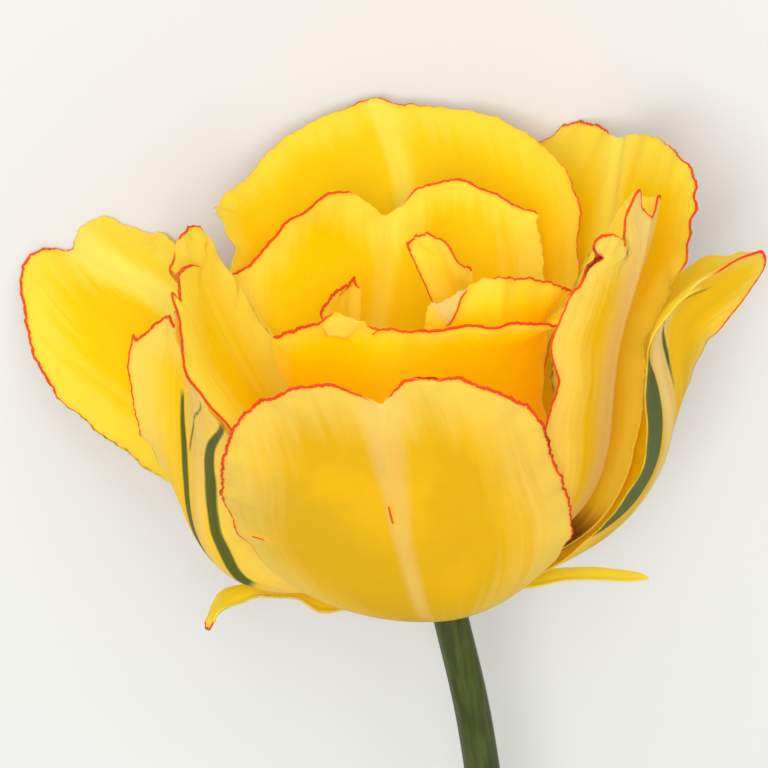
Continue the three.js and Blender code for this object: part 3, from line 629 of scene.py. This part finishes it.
def slab(name, columns, rows):
    """A flat slab of cells from -1 to 1: x runs across the blade, y along it, z outer to inner."""
    bm = bmesh.new()
    bmesh.ops.create_grid(bm, x_segments=columns, y_segments=rows, size=1)
    raised = bmesh.ops.extrude_face_region(bm, geom=bm.faces[:], use_keep_orig=True)["geom"]
    corners = [part for part in raised if isinstance(part, bmesh.types.BMVert)]
    bmesh.ops.translate(bm, vec=(0, 0, 1), verts=corners)
    bmesh.ops.recalc_face_normals(bm, faces=bm.faces[:])
    bmesh.ops.reverse_faces(bm, faces=bm.faces[:])
    mesh = bpy.data.meshes.new(name)
    bm.to_mesh(mesh)
    bm.free()
    return mesh


def read_points(mesh):
    points = np.empty(len(mesh.vertices) * 3, np.float32)
    mesh.vertices.foreach_get("co", points)
    return points.reshape(-1, 3).astype(float)


def write_points(mesh, points):
    """Finishes a mesh in metres, inside the box of the solids."""
    inside = np.clip(points * MILLIMETRE, *solid_box).astype(np.float32)
    mesh.vertices.foreach_set("co", inside.ravel())
    mesh.polygons.foreach_set("use_smooth", np.ones(len(mesh.polygons), bool))
    mesh.update()


def store(mesh, **fields):
    """Keeps a value for each vertex, for the finish to read."""
    for name, values in fields.items():
        layer = mesh.attributes.new(name, "FLOAT", "POINT")
        layer.data.foreach_set("value", np.asarray(values, np.float32))


def flame_depth(petal, a, b):
    """How deep a point lies in the green flames, in millimetres: below nought it is outside them."""
    depth = np.full(len(a), FAR_OUTSIDE)
    for low, high, middles, halves in petal["flames"]:
        t = (b / petal["length"] - low) / (high - low)
        inside = smooth(halves, t) - np.abs(a - smooth(middles, t))
        ends = np.minimum(t, 1 - t) * (high - low) * petal["length"] / 4
        depth = np.maximum(depth, np.minimum(inside, ends))
    return depth


def petal_mesh(name, petal, columns, rows):
    mesh = slab(name, columns, rows)
    across, along, inner = read_points(mesh).T
    along = FOOT + (1 - FOOT) * (1 - ((1 - along) / 2) ** CROWDING)
    a, b = flat_pattern(petal, across, along)
    margin, red, run = rim_of(petal, a, b)
    step, fold, fold_red, fold_cream = fold_at(petal["folds"], a, b)
    rib = a - smooth(petal["midrib"], b / petal["length"])
    fields = dict(across=across, along=along, inner=inner, margin=margin, rib=rib, run=run, red=red)
    store(mesh, green=flame_depth(petal, a, b), **fields)
    store(mesh, fold=fold, fold_red=fold_red, fold_cream=fold_cream)
    grown = ease(along, 0.2, 0.5)
    wave = petal["wave"]
    nicks = wave * rim_waves(petal, run, TEETH, TEETH_LENGTHS) * np.exp(-margin / TEETH_REACH)
    waves = wave * rim_waves(petal, run, WAVES, WAVE_LENGTHS) * np.exp(-margin / WAVE_REACH)
    middle = TEETH_CENTRE * petal["length"]
    reach = np.maximum(np.hypot(a, b - middle), 1)
    a, b = a + grown * nicks * a / reach, b + grown * nicks * (b - middle) / reach
    spine = spine_of(petal)
    normal = square_to(lambda a, b: bend(petal, spine, a, b), a, b)
    valley = petal["crease"] * np.exp(-((rib / CREASE_WIDTH) ** 2)) * ease(along, 0.05, 0.4)
    thickness = MARGIN_THICKNESS + (PETAL_THICKNESS - MARGIN_THICKNESS) * ease(margin, 0, MARGIN_WIDTH)
    toward = petal["folds_face"]
    lift = (inner - 0.5) * thickness + grown * waves - valley + toward * step
    point = laid_down(stood(bend(petal, spine, a, b) + normal * lift[:, None], petal))
    point[:, 2] = np.maximum(point[:, 2], inner * thickness)
    write_points(mesh, point)
    return mesh


class Field:
    """A value that changes over a surface, and can be added and scaled like a number."""

    def __init__(self, tree, socket):
        self.tree, self.socket = tree, socket

    @staticmethod
    def maths(operation, *terms):
        tree = next(term.tree for term in terms if isinstance(term, Field))
        return node(tree, "ShaderNodeMath", dict(enumerate(terms)), operation=operation)

    def __add__(self, other):
        return Field.maths("ADD", self, other)

    def __radd__(self, other):
        return Field.maths("ADD", other, self)

    def __sub__(self, other):
        return Field.maths("SUBTRACT", self, other)

    def __rsub__(self, other):
        return Field.maths("SUBTRACT", other, self)

    def __mul__(self, other):
        return Field.maths("MULTIPLY", self, other)

    def __rmul__(self, other):
        return Field.maths("MULTIPLY", other, self)

    def __abs__(self):
        return Field.maths("ABSOLUTE", self)


def node(tree, kind, sockets=None, output=0, **settings):
    """Adds a shader node: its settings first, then the values or links of its sockets."""
    made = tree.nodes.new(kind)
    for key, value in settings.items():
        setattr(made, key, value)
    for key, value in (sockets or {}).items():
        if isinstance(value, Field):
            tree.links.new(value.socket, made.inputs[key])
        else:
            made.inputs[key].default_value = value
    return Field(tree, made.outputs[output])


def stored(tree, name):
    return node(tree, "ShaderNodeAttribute", output="Fac", attribute_name=name)


def eased(value, start, end):
    """A field that is 0 at the start, 1 at the end, and smooth between them."""
    sockets = {0: value, 1: start, 2: end, 3: 0.0, 4: 1.0}
    return node(value.tree, "ShaderNodeMapRange", sockets, interpolation_type="SMOOTHSTEP")


def tinted(factor, under, over):
    """One colour laid over another by a factor."""
    colours = {}
    for key, tint in ((6, under), (7, over)):
        colours[key] = tint if isinstance(tint, Field) else (*tint, 1)
    return node(factor.tree, "ShaderNodeMix", {0: factor, **colours}, output=2, data_type="RGBA")


def grain(x, y, seed):
    """Noise from 0 to 1 over two fields."""
    place = node(x.tree, "ShaderNodeCombineXYZ", {0: x, 1: y, 2: seed})
    return node(x.tree, "ShaderNodeTexNoise", {"Vector": place, "Scale": 1.0, "Detail": 2.0})


def bare_skin(name, sockets):
    """A new skin: its material, node tree and shader, with the values that are the same all over."""
    material = bpy.data.materials.new(name)
    material.use_nodes = True
    tree = material.node_tree
    shader = tree.nodes["Principled BSDF"]
    for socket, value in sockets.items():
        shader.inputs[socket].default_value = value
    return material, tree, shader


YELLOW = (1.0, 0.64, 0.0)
# ORANGE: the petals' deeper tone, also laid on as painted shade in the cup and beside the folds.
ORANGE = (1.0, 0.49, 0.0)
PALE = (1.0, 0.82, 0.14)
GOLDEN = (0.60, 0.405, 0.003)
PALE_OUTSIDE = (0.76, 0.665, 0.18)
# painted shade at the foot of the outer faces
PAINTED_FOOT_SHADE = (0.30, 0.23, 0.01)
CREAM = (0.65, 0.54, 0.20)
GREEN = (0.012, 0.05, 0.008)
BLUSH = (1.0, 0.30, 0.04)
RED = (0.56, 0.016, 0.005)
SHINING_THROUGH = (0.9, 0.66, 0.02)
DARK_BASE = (0.08, 0.02, 0.004)
SHARE_SHINING_THROUGH = 0.3
PETAL_FIELDS = (
    "across", "along", "inner", "margin", "rib", "run", "red", "green", "fold", "fold_red", "fold_cream",
)
PETAL_GRAINS = ((26, 2.2, 0), (95, 3, 3), (4, 4, 5))  # streaks, veins, clouds: across, along, shift
PETAL_SOCKETS = {
    "Specular IOR Level": 0.1,
    "Subsurface Weight": 0.6,
    "Subsurface Radius": (1.0, 0.7, 0.08),
    "Subsurface Scale": 0.0022,
    # Emission: a faint painted glow of the petal's own colour, for light that passes through the thin
    # petals.
    "Emission Strength": 0.15,
}


def petal_ground(petal, at):
    """Yellow, paler along the rim and more golden outside; painted shade deepens the foot, and painted light
    brightens some outer faces.
    """
    # Deeper orange towards the foot of the inside, and on a few petals all over: painted shade in the cup.
    low = eased(at.along, 0.6, 0.15) * petal["low"] + petal["painted_shade"]
    inside = tinted(low + 0.25 * eased(at.cloud, 0.45, 0.75), YELLOW, ORANGE)
    # Some outer faces take the inside's yellow and lose the dark foot: painted light, as if shining through
    # the petal.
    outside = tinted(eased(at.cloud, 0.35, 0.75) * 0.3 + petal["painted_light_through"], GOLDEN, inside)
    # Darker gold at the foot of the outer faces: painted shade.
    foot = eased(at.along, 0.5, 0.0) * (1 - at.inner) * (1 - petal["painted_light_through"])
    colour = tinted(foot * 0.35, tinted(at.inner, outside, inside), PAINTED_FOOT_SHADE)
    zone = petal["pale"]
    pale = eased(at.margin + (at.streak - 0.5) * 0.9 * zone, zone, 0.15 * zone) * (0.5 + 0.4 * at.vein)
    return tinted(pale * petal["paleness"], colour, tinted(at.inner, PALE_OUTSIDE, PALE))


def with_cream(petal, at, colour):
    """A cream rib that fans out towards the crown, and folds with a painted warm shadow beside them."""
    width = petal["rib_width"] + petal["fan"] * eased(at.along, 0.35, 1.0)
    cream = eased(abs(at.rib) + (at.streak - 0.5) * 1.6, width * 1.5, width * 0.35)
    cream = cream * (petal["cream"] * (1 - at.inner) + petal["cream_inside"] * at.inner)
    colour = tinted(cream * eased(at.along, 0.02, 0.25), colour, tinted(at.inner, CREAM, PALE))
    colour = tinted(eased(at.fold, 0.0, 0.2) * at.fold_cream, colour, CREAM)
    # An orange band on the low side of each fold: painted shade under its lip.
    return tinted(eased(at.fold, -1.6, -0.1) * eased(at.fold, 0.1, -0.1) * 0.5, colour, ORANGE)


def red_edging(at):
    """Where the thin uneven red line runs: along the rim, and along the folds that have one."""
    line = 0.05 + 0.38 * at.red * (0.1 + 1.8 * at.tooth)
    rim = eased(at.margin, line + 0.12, line - 0.06) * eased(at.red, 0.05, 0.35)
    seam = eased(at.fold_red + (at.tooth - 0.5) * 0.6, 0.1, 0.6)
    return Field.maths("MAXIMUM", rim, seam * eased(abs(at.fold - 0.12), 0.28, 0.1))


def petal_finish(name, petal):
    material, tree, shader = bare_skin(name, PETAL_SOCKETS)
    at = SimpleNamespace(**{field: stored(tree, field) for field in PETAL_FIELDS})
    seed = petal["seed"] * 7.3
    at.streak, at.vein, at.cloud = (
        grain(at.across * x, at.along * y, seed + shift) for x, y, shift in PETAL_GRAINS
    )
    at.tooth = grain(at.run * 1.7, at.margin * 0.25, seed + 9)

    colour = with_cream(petal, at, petal_ground(petal, at))
    stripe = eased(at.green + (at.vein - 0.5) * 0.35, -0.3, 0.25) * (1 - at.inner)
    colour = tinted(stripe * (0.85 + 0.15 * at.vein), colour, GREEN)
    reach = petal["blotch"]
    blotch = eased(at.along + (at.streak - 0.5) * 0.05, reach, reach * 0.6) * at.inner
    colour = tinted(blotch, colour, DARK_BASE)
    glow = eased(at.margin + (at.tooth - 0.5) * 0.9, 1.2, 0.1) * at.red
    colour = tinted(glow * 0.45, colour, BLUSH)
    edging = red_edging(at)
    colour = tinted(edging * 0.95, colour, RED)
    tree.links.new(colour.socket, shader.inputs["Base Color"])

    rough = 0.45 + 0.2 * at.streak
    tree.links.new(rough.socket, shader.inputs["Roughness"])
    fibres = {"Height": at.vein * 0.6 + at.streak * 0.8, "Strength": 0.35, "Distance": 0.0002}
    relief = node(tree, "ShaderNodeBump", fibres)
    tree.links.new(relief.socket, shader.inputs["Normal"])
    # A faint painted glow: the petal's colour shines a little, for light that passes through it.
    tree.links.new(colour.socket, shader.inputs["Emission Color"])
    through = node(tree, "ShaderNodeBsdfTranslucent", {"Color": (*SHINING_THROUGH, 1)})
    clear = SHARE_SHINING_THROUGH * (1 - Field.maths("MAXIMUM", edging, stripe))
    mixed = node(tree, "ShaderNodeMixShader", {0: clear, 1: Field(tree, shader.outputs[0]), 2: through})
    tree.links.new(mixed.socket, tree.nodes["Material Output"].inputs["Surface"])
    return material


def add_piece(name, mesh, material, replaced):
    """A finished piece rides on the flower and stands for its solid."""
    mesh.materials.append(material)
    piece = bpy.data.objects.new(name, mesh)
    bpy.context.scene.collection.objects.link(piece)
    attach(piece, "root")
    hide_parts(replaced)
    return piece


FINE = ("inner_petal_front", "third_petal_right", "third_petal_left", "fourth_petal_front")
COARSE = (
    "heart_petal_right", "heart_petal_left", "side_petal_right", "reflexed_petal_left",
    "reflexed_petal_right",
)
FINE_CELLS, USUAL_CELLS, COARSE_CELLS = (150, 130), (124, 110), (72, 64)
for seed, (name, own) in enumerate(PETALS.items(), 1):
    petal = {**USUAL_PETAL, **own, "seed": seed}
    cells = FINE_CELLS if name in FINE else COARSE_CELLS if name in COARSE else USUAL_CELLS
    mesh = petal_mesh(f"{name}_blade", petal, *cells)
    add_piece(f"{name}_blade", mesh, petal_finish(f"{name}_skin", petal), name)

# Leaves: two long glaucous blades that clasp the stem, each a little folded along its midrib and
# waved along its margins. Fine veins run the whole length, and a thin bloom of wax dulls them.
LEAVES = {
    "leaf_upper": dict(
        azimuth=300, foot=0.34, length=118, half=(17, 17),
        lean=(3, 8, 14, 20, 30, 40), sway=(0, 6, 16, 26, 34, 38), twist=(0, 0, -5, -10, -10),
        cup=((110, 70, 45, 40, 30), (110, 70, 45, 40, 30)), ripple=(1.2, 7, 40),
        spread=(0.45, 0.8, 1, 0.95, 0.72, 0.42, 0.1), crown=(0.9, 0.96, 1, 0.96, 0.9), seed=31,
    ),
    "leaf_lower": dict(
        azimuth=238, foot=0.14, length=145, half=(20, 20),
        lean=(3, 8, 12, 16, 24, 30), sway=(0, -6, -14, -22, -28, -32), twist=(0, 0, 5, 10, 10),
        cup=((110, 70, 45, 40, 30), (110, 70, 45, 40, 30)), ripple=(1.4, 8, 200),
        spread=(0.4, 0.75, 1, 0.98, 0.8, 0.5, 0.12), crown=(0.9, 0.96, 1, 0.96, 0.9), seed=32,
    ),
}
LEAF_THICKNESS = 1.0
LEAF_MARGIN_THICKNESS = 0.35
LEAF_MARGIN_WIDTH = 5
LEAF_RIB, LEAF_RIBS_APART = 0.1, 2.4
LEAF_CREASE, LEAF_CREASE_WIDTH = 0.4, 1.4
LEAF_CELLS = (64, 160)
LEAF_GREENS = ((0.085, 0.17, 0.075), (0.13, 0.24, 0.12))
LEAF_VEINS, LEAF_MIDRIB = (0.20, 0.33, 0.17), (0.30, 0.42, 0.20)
LEAF_FOOT, LEAF_RIM = (0.36, 0.46, 0.20), (0.34, 0.30, 0.14)
LEAF_GRAINS = ((42, 3, 0), (3, 6, 2))  # veins and clouds: across, along, shift
LEAF_SOCKETS = {
    "Subsurface Weight": 0.15,
    "Subsurface Radius": (0.5, 0.9, 0.2),
    "Subsurface Scale": 0.001,
}
LEAF_CLEARANCE = 1.1
STEM_PATH = (
    (16, 14, 10.5, 7, 4.2, 2.7, 2.1, 1.7, 0),
    (6.7, 6.1, 5.2, 4.1, 2.9, 1.7, 0.8, 0.1, 0),
    (-250, -1.5),
)
STEM_RADII = (3.7, 3.65, 3.55, 3.45, 3.3, 3.15, 3.05, 2.95, 2.9)


def path_point(path, u):
    return np.stack([smooth(keys, u) for keys in path], 1)


def path_frame(path, u):
    """Points of a path, and its forward, side and upward directions there."""
    forward = path_point(path, np.minimum(u + 0.01, 1)) - path_point(path, np.maximum(u - 0.01, 0))
    forward /= np.linalg.norm(forward, axis=1)[:, None]
    north = np.cross(forward, (1, 0, 0))
    north /= np.linalg.norm(north, axis=1)[:, None]
    return path_point(path, u), forward, np.cross(north, forward), north


def stood_on_stem(points, leaf):
    """Moves a leaf's points to its foot, where the stem's own direction carries it."""
    place, forward = (row[0] for row in path_frame(STEM_PATH, np.array((leaf["foot"],)))[:2])
    turn = Vector((0, 0, 1)).rotation_difference(Vector(forward)).to_matrix()
    radius = float(smooth(STEM_RADII, leaf["foot"]))
    upright = stood(points, {**leaf, "seat": (radius + LEAF_CLEARANCE, 0)})
    return upright @ np.array(turn).T + place


def leaf_mesh(name, leaf, columns, rows):
    mesh = slab(name, columns, rows)
    across, along, inner = read_points(mesh).T
    along = (along + 1) / 2
    a, b = flat_pattern(leaf, across, along)
    margin = rim_of(leaf, a, b)[0]
    half = np.where(across < 0, *leaf["half"])
    spine = spine_of(leaf)
    size, waves, start = leaf["ripple"]

    def waved(a, b):
        share = b / leaf["length"]
        rim = np.minimum(1.2, np.hypot(a / half, 2 * share - 1))
        lift = size * rim**4 * np.sin(np.arctan2(a / half, share - 0.5) * waves + math.radians(start))
        return bend(leaf, spine, a, b, lift)

    normal = square_to(waved, a, b)
    ribs = LEAF_RIB * np.cos(a * 2 * math.pi / LEAF_RIBS_APART) * ease(margin, 0, 3)
    crease = -LEAF_CREASE * np.exp(-((a / LEAF_CREASE_WIDTH) ** 2))
    full = ease(margin, 0, LEAF_MARGIN_WIDTH)
    thickness = LEAF_MARGIN_THICKNESS + (LEAF_THICKNESS - LEAF_MARGIN_THICKNESS) * full
    lift = (inner - 0.5) * thickness + ribs + crease
    point = laid_down(stood_on_stem(waved(a, b) + normal * lift[:, None], leaf))
    point[:, 2] = np.maximum(point[:, 2], inner * thickness)
    write_points(mesh, point)
    store(mesh, across=across, along=along, margin=margin, rib=a)
    return mesh


def leaf_finish(leaf):
    material, tree, shader = bare_skin("leaf_skin", LEAF_SOCKETS)
    across, along, margin, rib = (stored(tree, field) for field in ("across", "along", "margin", "rib"))
    vein, cloud = (grain(across * x, along * y, leaf["seed"] + shift) for x, y, shift in LEAF_GRAINS)
    colour = tinted(eased(cloud, 0.3, 0.7), *LEAF_GREENS)
    colour = tinted(eased(vein, 0.45, 0.75) * 0.5, colour, LEAF_VEINS)
    colour = tinted(eased(abs(rib), 1.0, 0.2) * 0.5, colour, LEAF_MIDRIB)
    colour = tinted(eased(along, 0.18, 0.0), colour, LEAF_FOOT)
    colour = tinted(eased(margin, 0.7, 0.1) * 0.7, colour, LEAF_RIM)
    tree.links.new(colour.socket, shader.inputs["Base Color"])
    rough = 0.38 + 0.25 * vein
    tree.links.new(rough.socket, shader.inputs["Roughness"])
    relief = node(tree, "ShaderNodeBump", {"Height": vein, "Strength": 0.4, "Distance": 0.0002})
    tree.links.new(relief.socket, shader.inputs["Normal"])
    return material


for name, leaf in LEAVES.items():
    mesh = leaf_mesh(f"{name}_blade", leaf, *LEAF_CELLS)
    add_piece(f"{name}_blade", mesh, leaf_finish(leaf), name)

# Stem and receptacle: one round, juicy green stalk, faintly ribbed and cut square at its foot.
# It swells into the stepped receptacle that carries the petals, and colours yellow there.
STEM_COLOURS = ((0.035, 0.045, 0.005), (0.06, 0.075, 0.010))
RECEPTACLE_RADII = (3, 5.1, 5.3, 5.1, 4.8, 4.4, 4, 3.5, 3)
RECEPTACLE_PATH = (0, 0, (-2.2, 12.2))
RECEPTACLE_COLOURS = ((0.32, 0.34, 0.08), (0.45, 0.44, 0.12))
STEM_STREAKS, RECEPTACLE_STREAKS = (900, 60, 900), (900, 90, 900)
CAP_RINGS = (0.25, 0.35, 0.3)
STALK_SOCKETS = {
    "Specular IOR Level": 0.2,
    "Subsurface Weight": 0.2,
    "Subsurface Radius": (0.7, 1.0, 0.3),
    "Subsurface Scale": 0.001,
}


def tube(name, sides, rings):
    """A closed tube of unit radius and length, whose ends are capped by rings of faces."""
    bm = bmesh.new()
    bmesh.ops.create_circle(bm, segments=sides, radius=1, cap_ends=False)
    loop = bm.edges[:]
    for _ in range(rings):
        grown = bmesh.ops.extrude_edge_only(bm, edges=loop)["geom"]
        loop = [part for part in grown if isinstance(part, bmesh.types.BMEdge)]
        points = [part for part in grown if isinstance(part, bmesh.types.BMVert)]
        bmesh.ops.translate(bm, vec=(0, 0, 1 / rings), verts=points)
    bmesh.ops.holes_fill(bm, edges=bm.edges[:], sides=sides)
    ends = [face for face in bm.faces if len(face.verts) > 4]
    for width in CAP_RINGS:
        bmesh.ops.inset_individual(bm, faces=ends, thickness=width, use_even_offset=True)
    bmesh.ops.poke(bm, faces=ends)
    bmesh.ops.recalc_face_normals(bm, faces=bm.faces[:])
    mesh = bpy.data.meshes.new(name)
    bm.to_mesh(mesh)
    bm.free()
    return mesh


def stalk_mesh(name, path, radius_at, sides, rings, dome):
    """A stalk along a path. The radius is a function of the share of its length and the turn."""
    mesh = tube(name, sides, rings)
    x, y, u = read_points(mesh).T
    turn = np.arctan2(y, x)
    reach = np.minimum(np.hypot(x, y), 1)
    place, forward, side, north = path_frame(path, u)
    radius = radius_at(u, turn) * reach
    swell = dome * np.sqrt(np.maximum(1 - reach**2, 0)) * np.where(u > 0.5, 1, -1)
    point = place + side * (radius * np.cos(turn))[:, None] + north * (radius * np.sin(turn))[:, None]
    point += forward * swell[:, None] * np.where((u < 1e-4) | (u > 1 - 1e-4), 1, 0)[:, None]
    write_points(mesh, laid_down(point))
    store(mesh, along=u)
    return mesh


def stem_radius(u, turn):
    ribs = 0.05 * np.cos(9 * turn + 3 * np.sin(5 * u)) + 0.05 * np.sin(3 * turn + 7 * u)
    return smooth(STEM_RADII, u) - 0.1 + ribs


def stalk_finish(name, colours, streaks, tip=None):
    material, tree, shader = bare_skin(name, STALK_SOCKETS)
    place = node(tree, "ShaderNodeTexCoord", output="Object")
    stretched = node(tree, "ShaderNodeMapping", {"Vector": place, "Scale": streaks})
    fibre = node(tree, "ShaderNodeTexNoise", {"Vector": stretched, "Scale": 1.0, "Detail": 4.0})
    fleck = node(tree, "ShaderNodeTexNoise", {"Vector": place, "Scale": 900.0, "Detail": 2.0})
    colour = tinted(eased(fibre, 0.35, 0.65), *colours)
    colour = tinted(eased(fleck, 0.6, 0.75) * 0.25, colour, colours[1])
    if tip:
        colour = tinted(eased(stored(tree, "along"), *tip[0]), colour, tip[1])
    tree.links.new(colour.socket, shader.inputs["Base Color"])
    rough = 0.38 + 0.2 * fibre
    tree.links.new(rough.socket, shader.inputs["Roughness"])
    relief = node(tree, "ShaderNodeBump", {"Height": fibre, "Strength": 0.35, "Distance": 0.0002})
    tree.links.new(relief.socket, shader.inputs["Normal"])
    return material


def receptacle_radius(u, turn):
    return smooth(RECEPTACLE_RADII, u) - 0.06 + 0.05 * np.cos(18 * turn) + 0.05 * np.cos(u * 44)


def add_stalk(name, path, radius_at, cells, skin, solid, dome=0.0):
    """A finished stalk, of so many cells round it and along it."""
    add_piece(name, stalk_mesh(name, path, radius_at, *cells, dome), skin, solid)


stem_skin = stalk_finish("stem_skin", STEM_COLOURS, STEM_STREAKS)
add_stalk("stem_stalk", STEM_PATH, stem_radius, (40, 320), stem_skin, "stem")
receptacle_skin = stalk_finish("receptacle_skin", RECEPTACLE_COLOURS, RECEPTACLE_STREAKS)
add_stalk("receptacle_seat", RECEPTACLE_PATH, receptacle_radius, (48, 40), receptacle_skin, "stem")

# Pistil: a blunt three-sided green ovary under a cream stigma of three frilled lobes. It is one
# fleshy piece, which grows from the top of the receptacle.
PISTIL_PATH = ((0, 0, 0.2, 0.3), 0, (12.5, 35))
PISTIL_RADII = (2.4, 3.2, 3.4, 3.4, 3.1, 2.6, 2.3, 3.5, 3.2)
PISTIL_LOBES = (0, 0.06, 0.08, 0.08, 0.08, 0.08, 0.1, 0.3, 0.45)
PISTIL_COLOURS = ((0.26, 0.36, 0.09), (0.42, 0.50, 0.16))
PISTIL_STREAKS = (700, 90, 700)
STIGMA = ((0.8, 0.9), (0.72, 0.66, 0.32))  # where the stigma starts along the pistil, and its colour


def pistil_radius(u, turn):
    frill = 0.1 * np.sin(21 * turn) * ease(u, 0.84, 0.97)
    return smooth(PISTIL_RADII, u) * (0.97 + smooth(PISTIL_LOBES, u) * np.cos(3 * turn)) + frill - 0.06


pistil_skin = stalk_finish("pistil_skin", PISTIL_COLOURS, PISTIL_STREAKS, STIGMA)
add_stalk("pistil_column", PISTIL_PATH, pistil_radius, (72, 90), pistil_skin, "pistil")

# Stamens: six tapered filaments on one low collar, which sits on the receptacle round the foot of
# the pistil. Each bears a long grooved anther, which is dusty black with pollen.
STAMEN_COUNT = 6
STAMEN_START = 26
FILAMENT_OUT, FILAMENT_UP = (3.25, 4.9, 5.7, 6), (12.8, 23)
FILAMENT_RADII = (0.45, 0.75, 0.7, 0.5)
ANTHER_OUT, ANTHER_UP = (6, 6.1, 6.2, 6.2), (21.5, 31)
ANTHER_RADII = (0.8, 1.5, 1.4, 0.6)
COLLAR_PATH = (0, 0, (12.45, 13.2))
COLLAR_RADIUS = 3.66
FILAMENT_COLOURS = ((0.30, 0.30, 0.06), (0.45, 0.42, 0.10))
ANTHER_COLOURS = ((0.012, 0.009, 0.012), (0.05, 0.035, 0.03))
FILAMENT_STREAKS, ANTHER_STREAKS = (900, 200, 900), (2500, 1500, 2500)


def ring_of(out, up, turn):
    """A path that climbs beside the axis, at a turn round it."""
    east = tuple(value * math.cos(turn) for value in out)
    north = tuple(value * math.sin(turn) for value in out)
    return east, north, up


def filament_radius(u, turn):
    return smooth(FILAMENT_RADII, u) * 0.96


def anther_radius(u, turn):
    return smooth(ANTHER_RADII, u) * (0.93 - 0.1 * np.cos(2 * turn))


def collar_radius(u, turn):
    return np.full_like(u, COLLAR_RADIUS)


filament_skin = stalk_finish("filament_skin", FILAMENT_COLOURS, FILAMENT_STREAKS)
anther_skin = stalk_finish("anther_skin", ANTHER_COLOURS, ANTHER_STREAKS)
for number in range(STAMEN_COUNT):
    turn = math.radians(STAMEN_START + 360 / STAMEN_COUNT * number)
    path = ring_of(FILAMENT_OUT, FILAMENT_UP, turn)
    add_stalk(f"filament_{number + 1}", path, filament_radius, (16, 30), filament_skin, "stamens", 0.1)
    path = ring_of(ANTHER_OUT, ANTHER_UP, turn)
    add_stalk(f"anther_{number + 1}", path, anther_radius, (24, 40), anther_skin, "stamens", 0.3)
add_stalk("stamen_collar", COLLAR_PATH, collar_radius, (48, 6), filament_skin, "stamens")

# Floor: a plain pale surface, which the flower lies on. It is stage, and no part of the flower:
# a flat sheet just under the cut end of the stem and the lowest petals.
SURFACE_REACH = 6
SURFACE_DROP = 0.0003
SURFACE_SOCKETS = {"Base Color": (0.62, 0.62, 0.60, 1), "Roughness": 0.85}
bm = bmesh.new()
bmesh.ops.create_grid(bm, x_segments=8, y_segments=8, size=SURFACE_REACH)
floor_mesh = bpy.data.meshes.new("floor")
bm.to_mesh(floor_mesh)
bm.free()
floor_mesh.transform(Matrix.Translation((0, 0, -SURFACE_DROP)))
floor_mesh.materials.append(bare_skin("floor_skin", SURFACE_SOCKETS)[0])
floor = bpy.data.objects.new("floor", floor_mesh)
bpy.context.scene.collection.objects.link(floor)

# Light: a broad soft lamp stands beyond the bloom, a smaller and brighter one hangs over its
# opening, and a pale sky fills the shadows. The photo was taken in soft daylight.
SKY_COLOUR, SKY_STRENGTH = (0.93, 0.96, 1.0, 1), 0.8
BLOOM = Vector((0, 0.1, 0.03))  # where the lamps are aimed
world = bpy.data.worlds.new("sky")
world.use_nodes = True
sky = world.node_tree.nodes["Background"]
sky.inputs["Color"].default_value = SKY_COLOUR
sky.inputs["Strength"].default_value = SKY_STRENGTH
bpy.context.scene.world = world


def lamp(name, place, size, power, tint):
    light = bpy.data.lights.new(name, "AREA")
    light.size = size
    light.energy = power
    light.color = tint
    holder = bpy.data.objects.new(name, light)
    bpy.context.scene.collection.objects.link(holder)
    aim = BLOOM - Vector(place)
    holder.rotation_euler = aim.to_track_quat("-Z", "Y").to_euler()
    holder.location = place


lamp("key", place=(0.15, 0.7, 1.1), size=0.8, power=4.4, tint=(1.0, 0.98, 0.94))
lamp("front", place=(-0.15, 0.22, 1.3), size=0.5, power=9, tint=(1.0, 0.99, 0.96))

# Camera: looks down on the lying bloom, a little off the plumb line and a little rolled, from the
# side that shows the front petal's outer face. The petals' base shows at a chosen pixel.
DISTANCE = 650
MILLIMETRES_A_PIXEL = 0.16
BASE_PIXEL = (447, 597)
IMAGE_WIDTH = 768
SENSOR = 36
pitch, roll = math.radians(15), math.radians(8)
backward = Vector((0, math.sin(pitch), math.cos(pitch)))
level_up = Vector((0, math.cos(pitch), -math.sin(pitch)))
right = math.cos(roll) * Vector((1, 0, 0)) - math.sin(roll) * level_up
upward = math.sin(roll) * Vector((1, 0, 0)) + math.cos(roll) * level_up
middle = Vector(BASE) + (IMAGE_WIDTH / 2 - BASE_PIXEL[0]) * MILLIMETRES_A_PIXEL * right
middle += (BASE_PIXEL[1] - IMAGE_WIDTH / 2) * MILLIMETRES_A_PIXEL * upward
camera = bpy.data.objects.new("camera", bpy.data.cameras.new("camera"))
bpy.context.scene.collection.objects.link(camera)
camera.data.sensor_width = SENSOR
camera.data.lens = SENSOR * DISTANCE / (IMAGE_WIDTH * MILLIMETRES_A_PIXEL)
turned = Matrix((right, upward, backward)).transposed().to_4x4()
camera.matrix_world = Matrix.Translation((middle + DISTANCE * backward) * MILLIMETRE) @ turned
camera.data.clip_start = 0.01
bpy.context.scene.camera = camera
bpy.context.scene.view_settings.view_transform = "Standard"
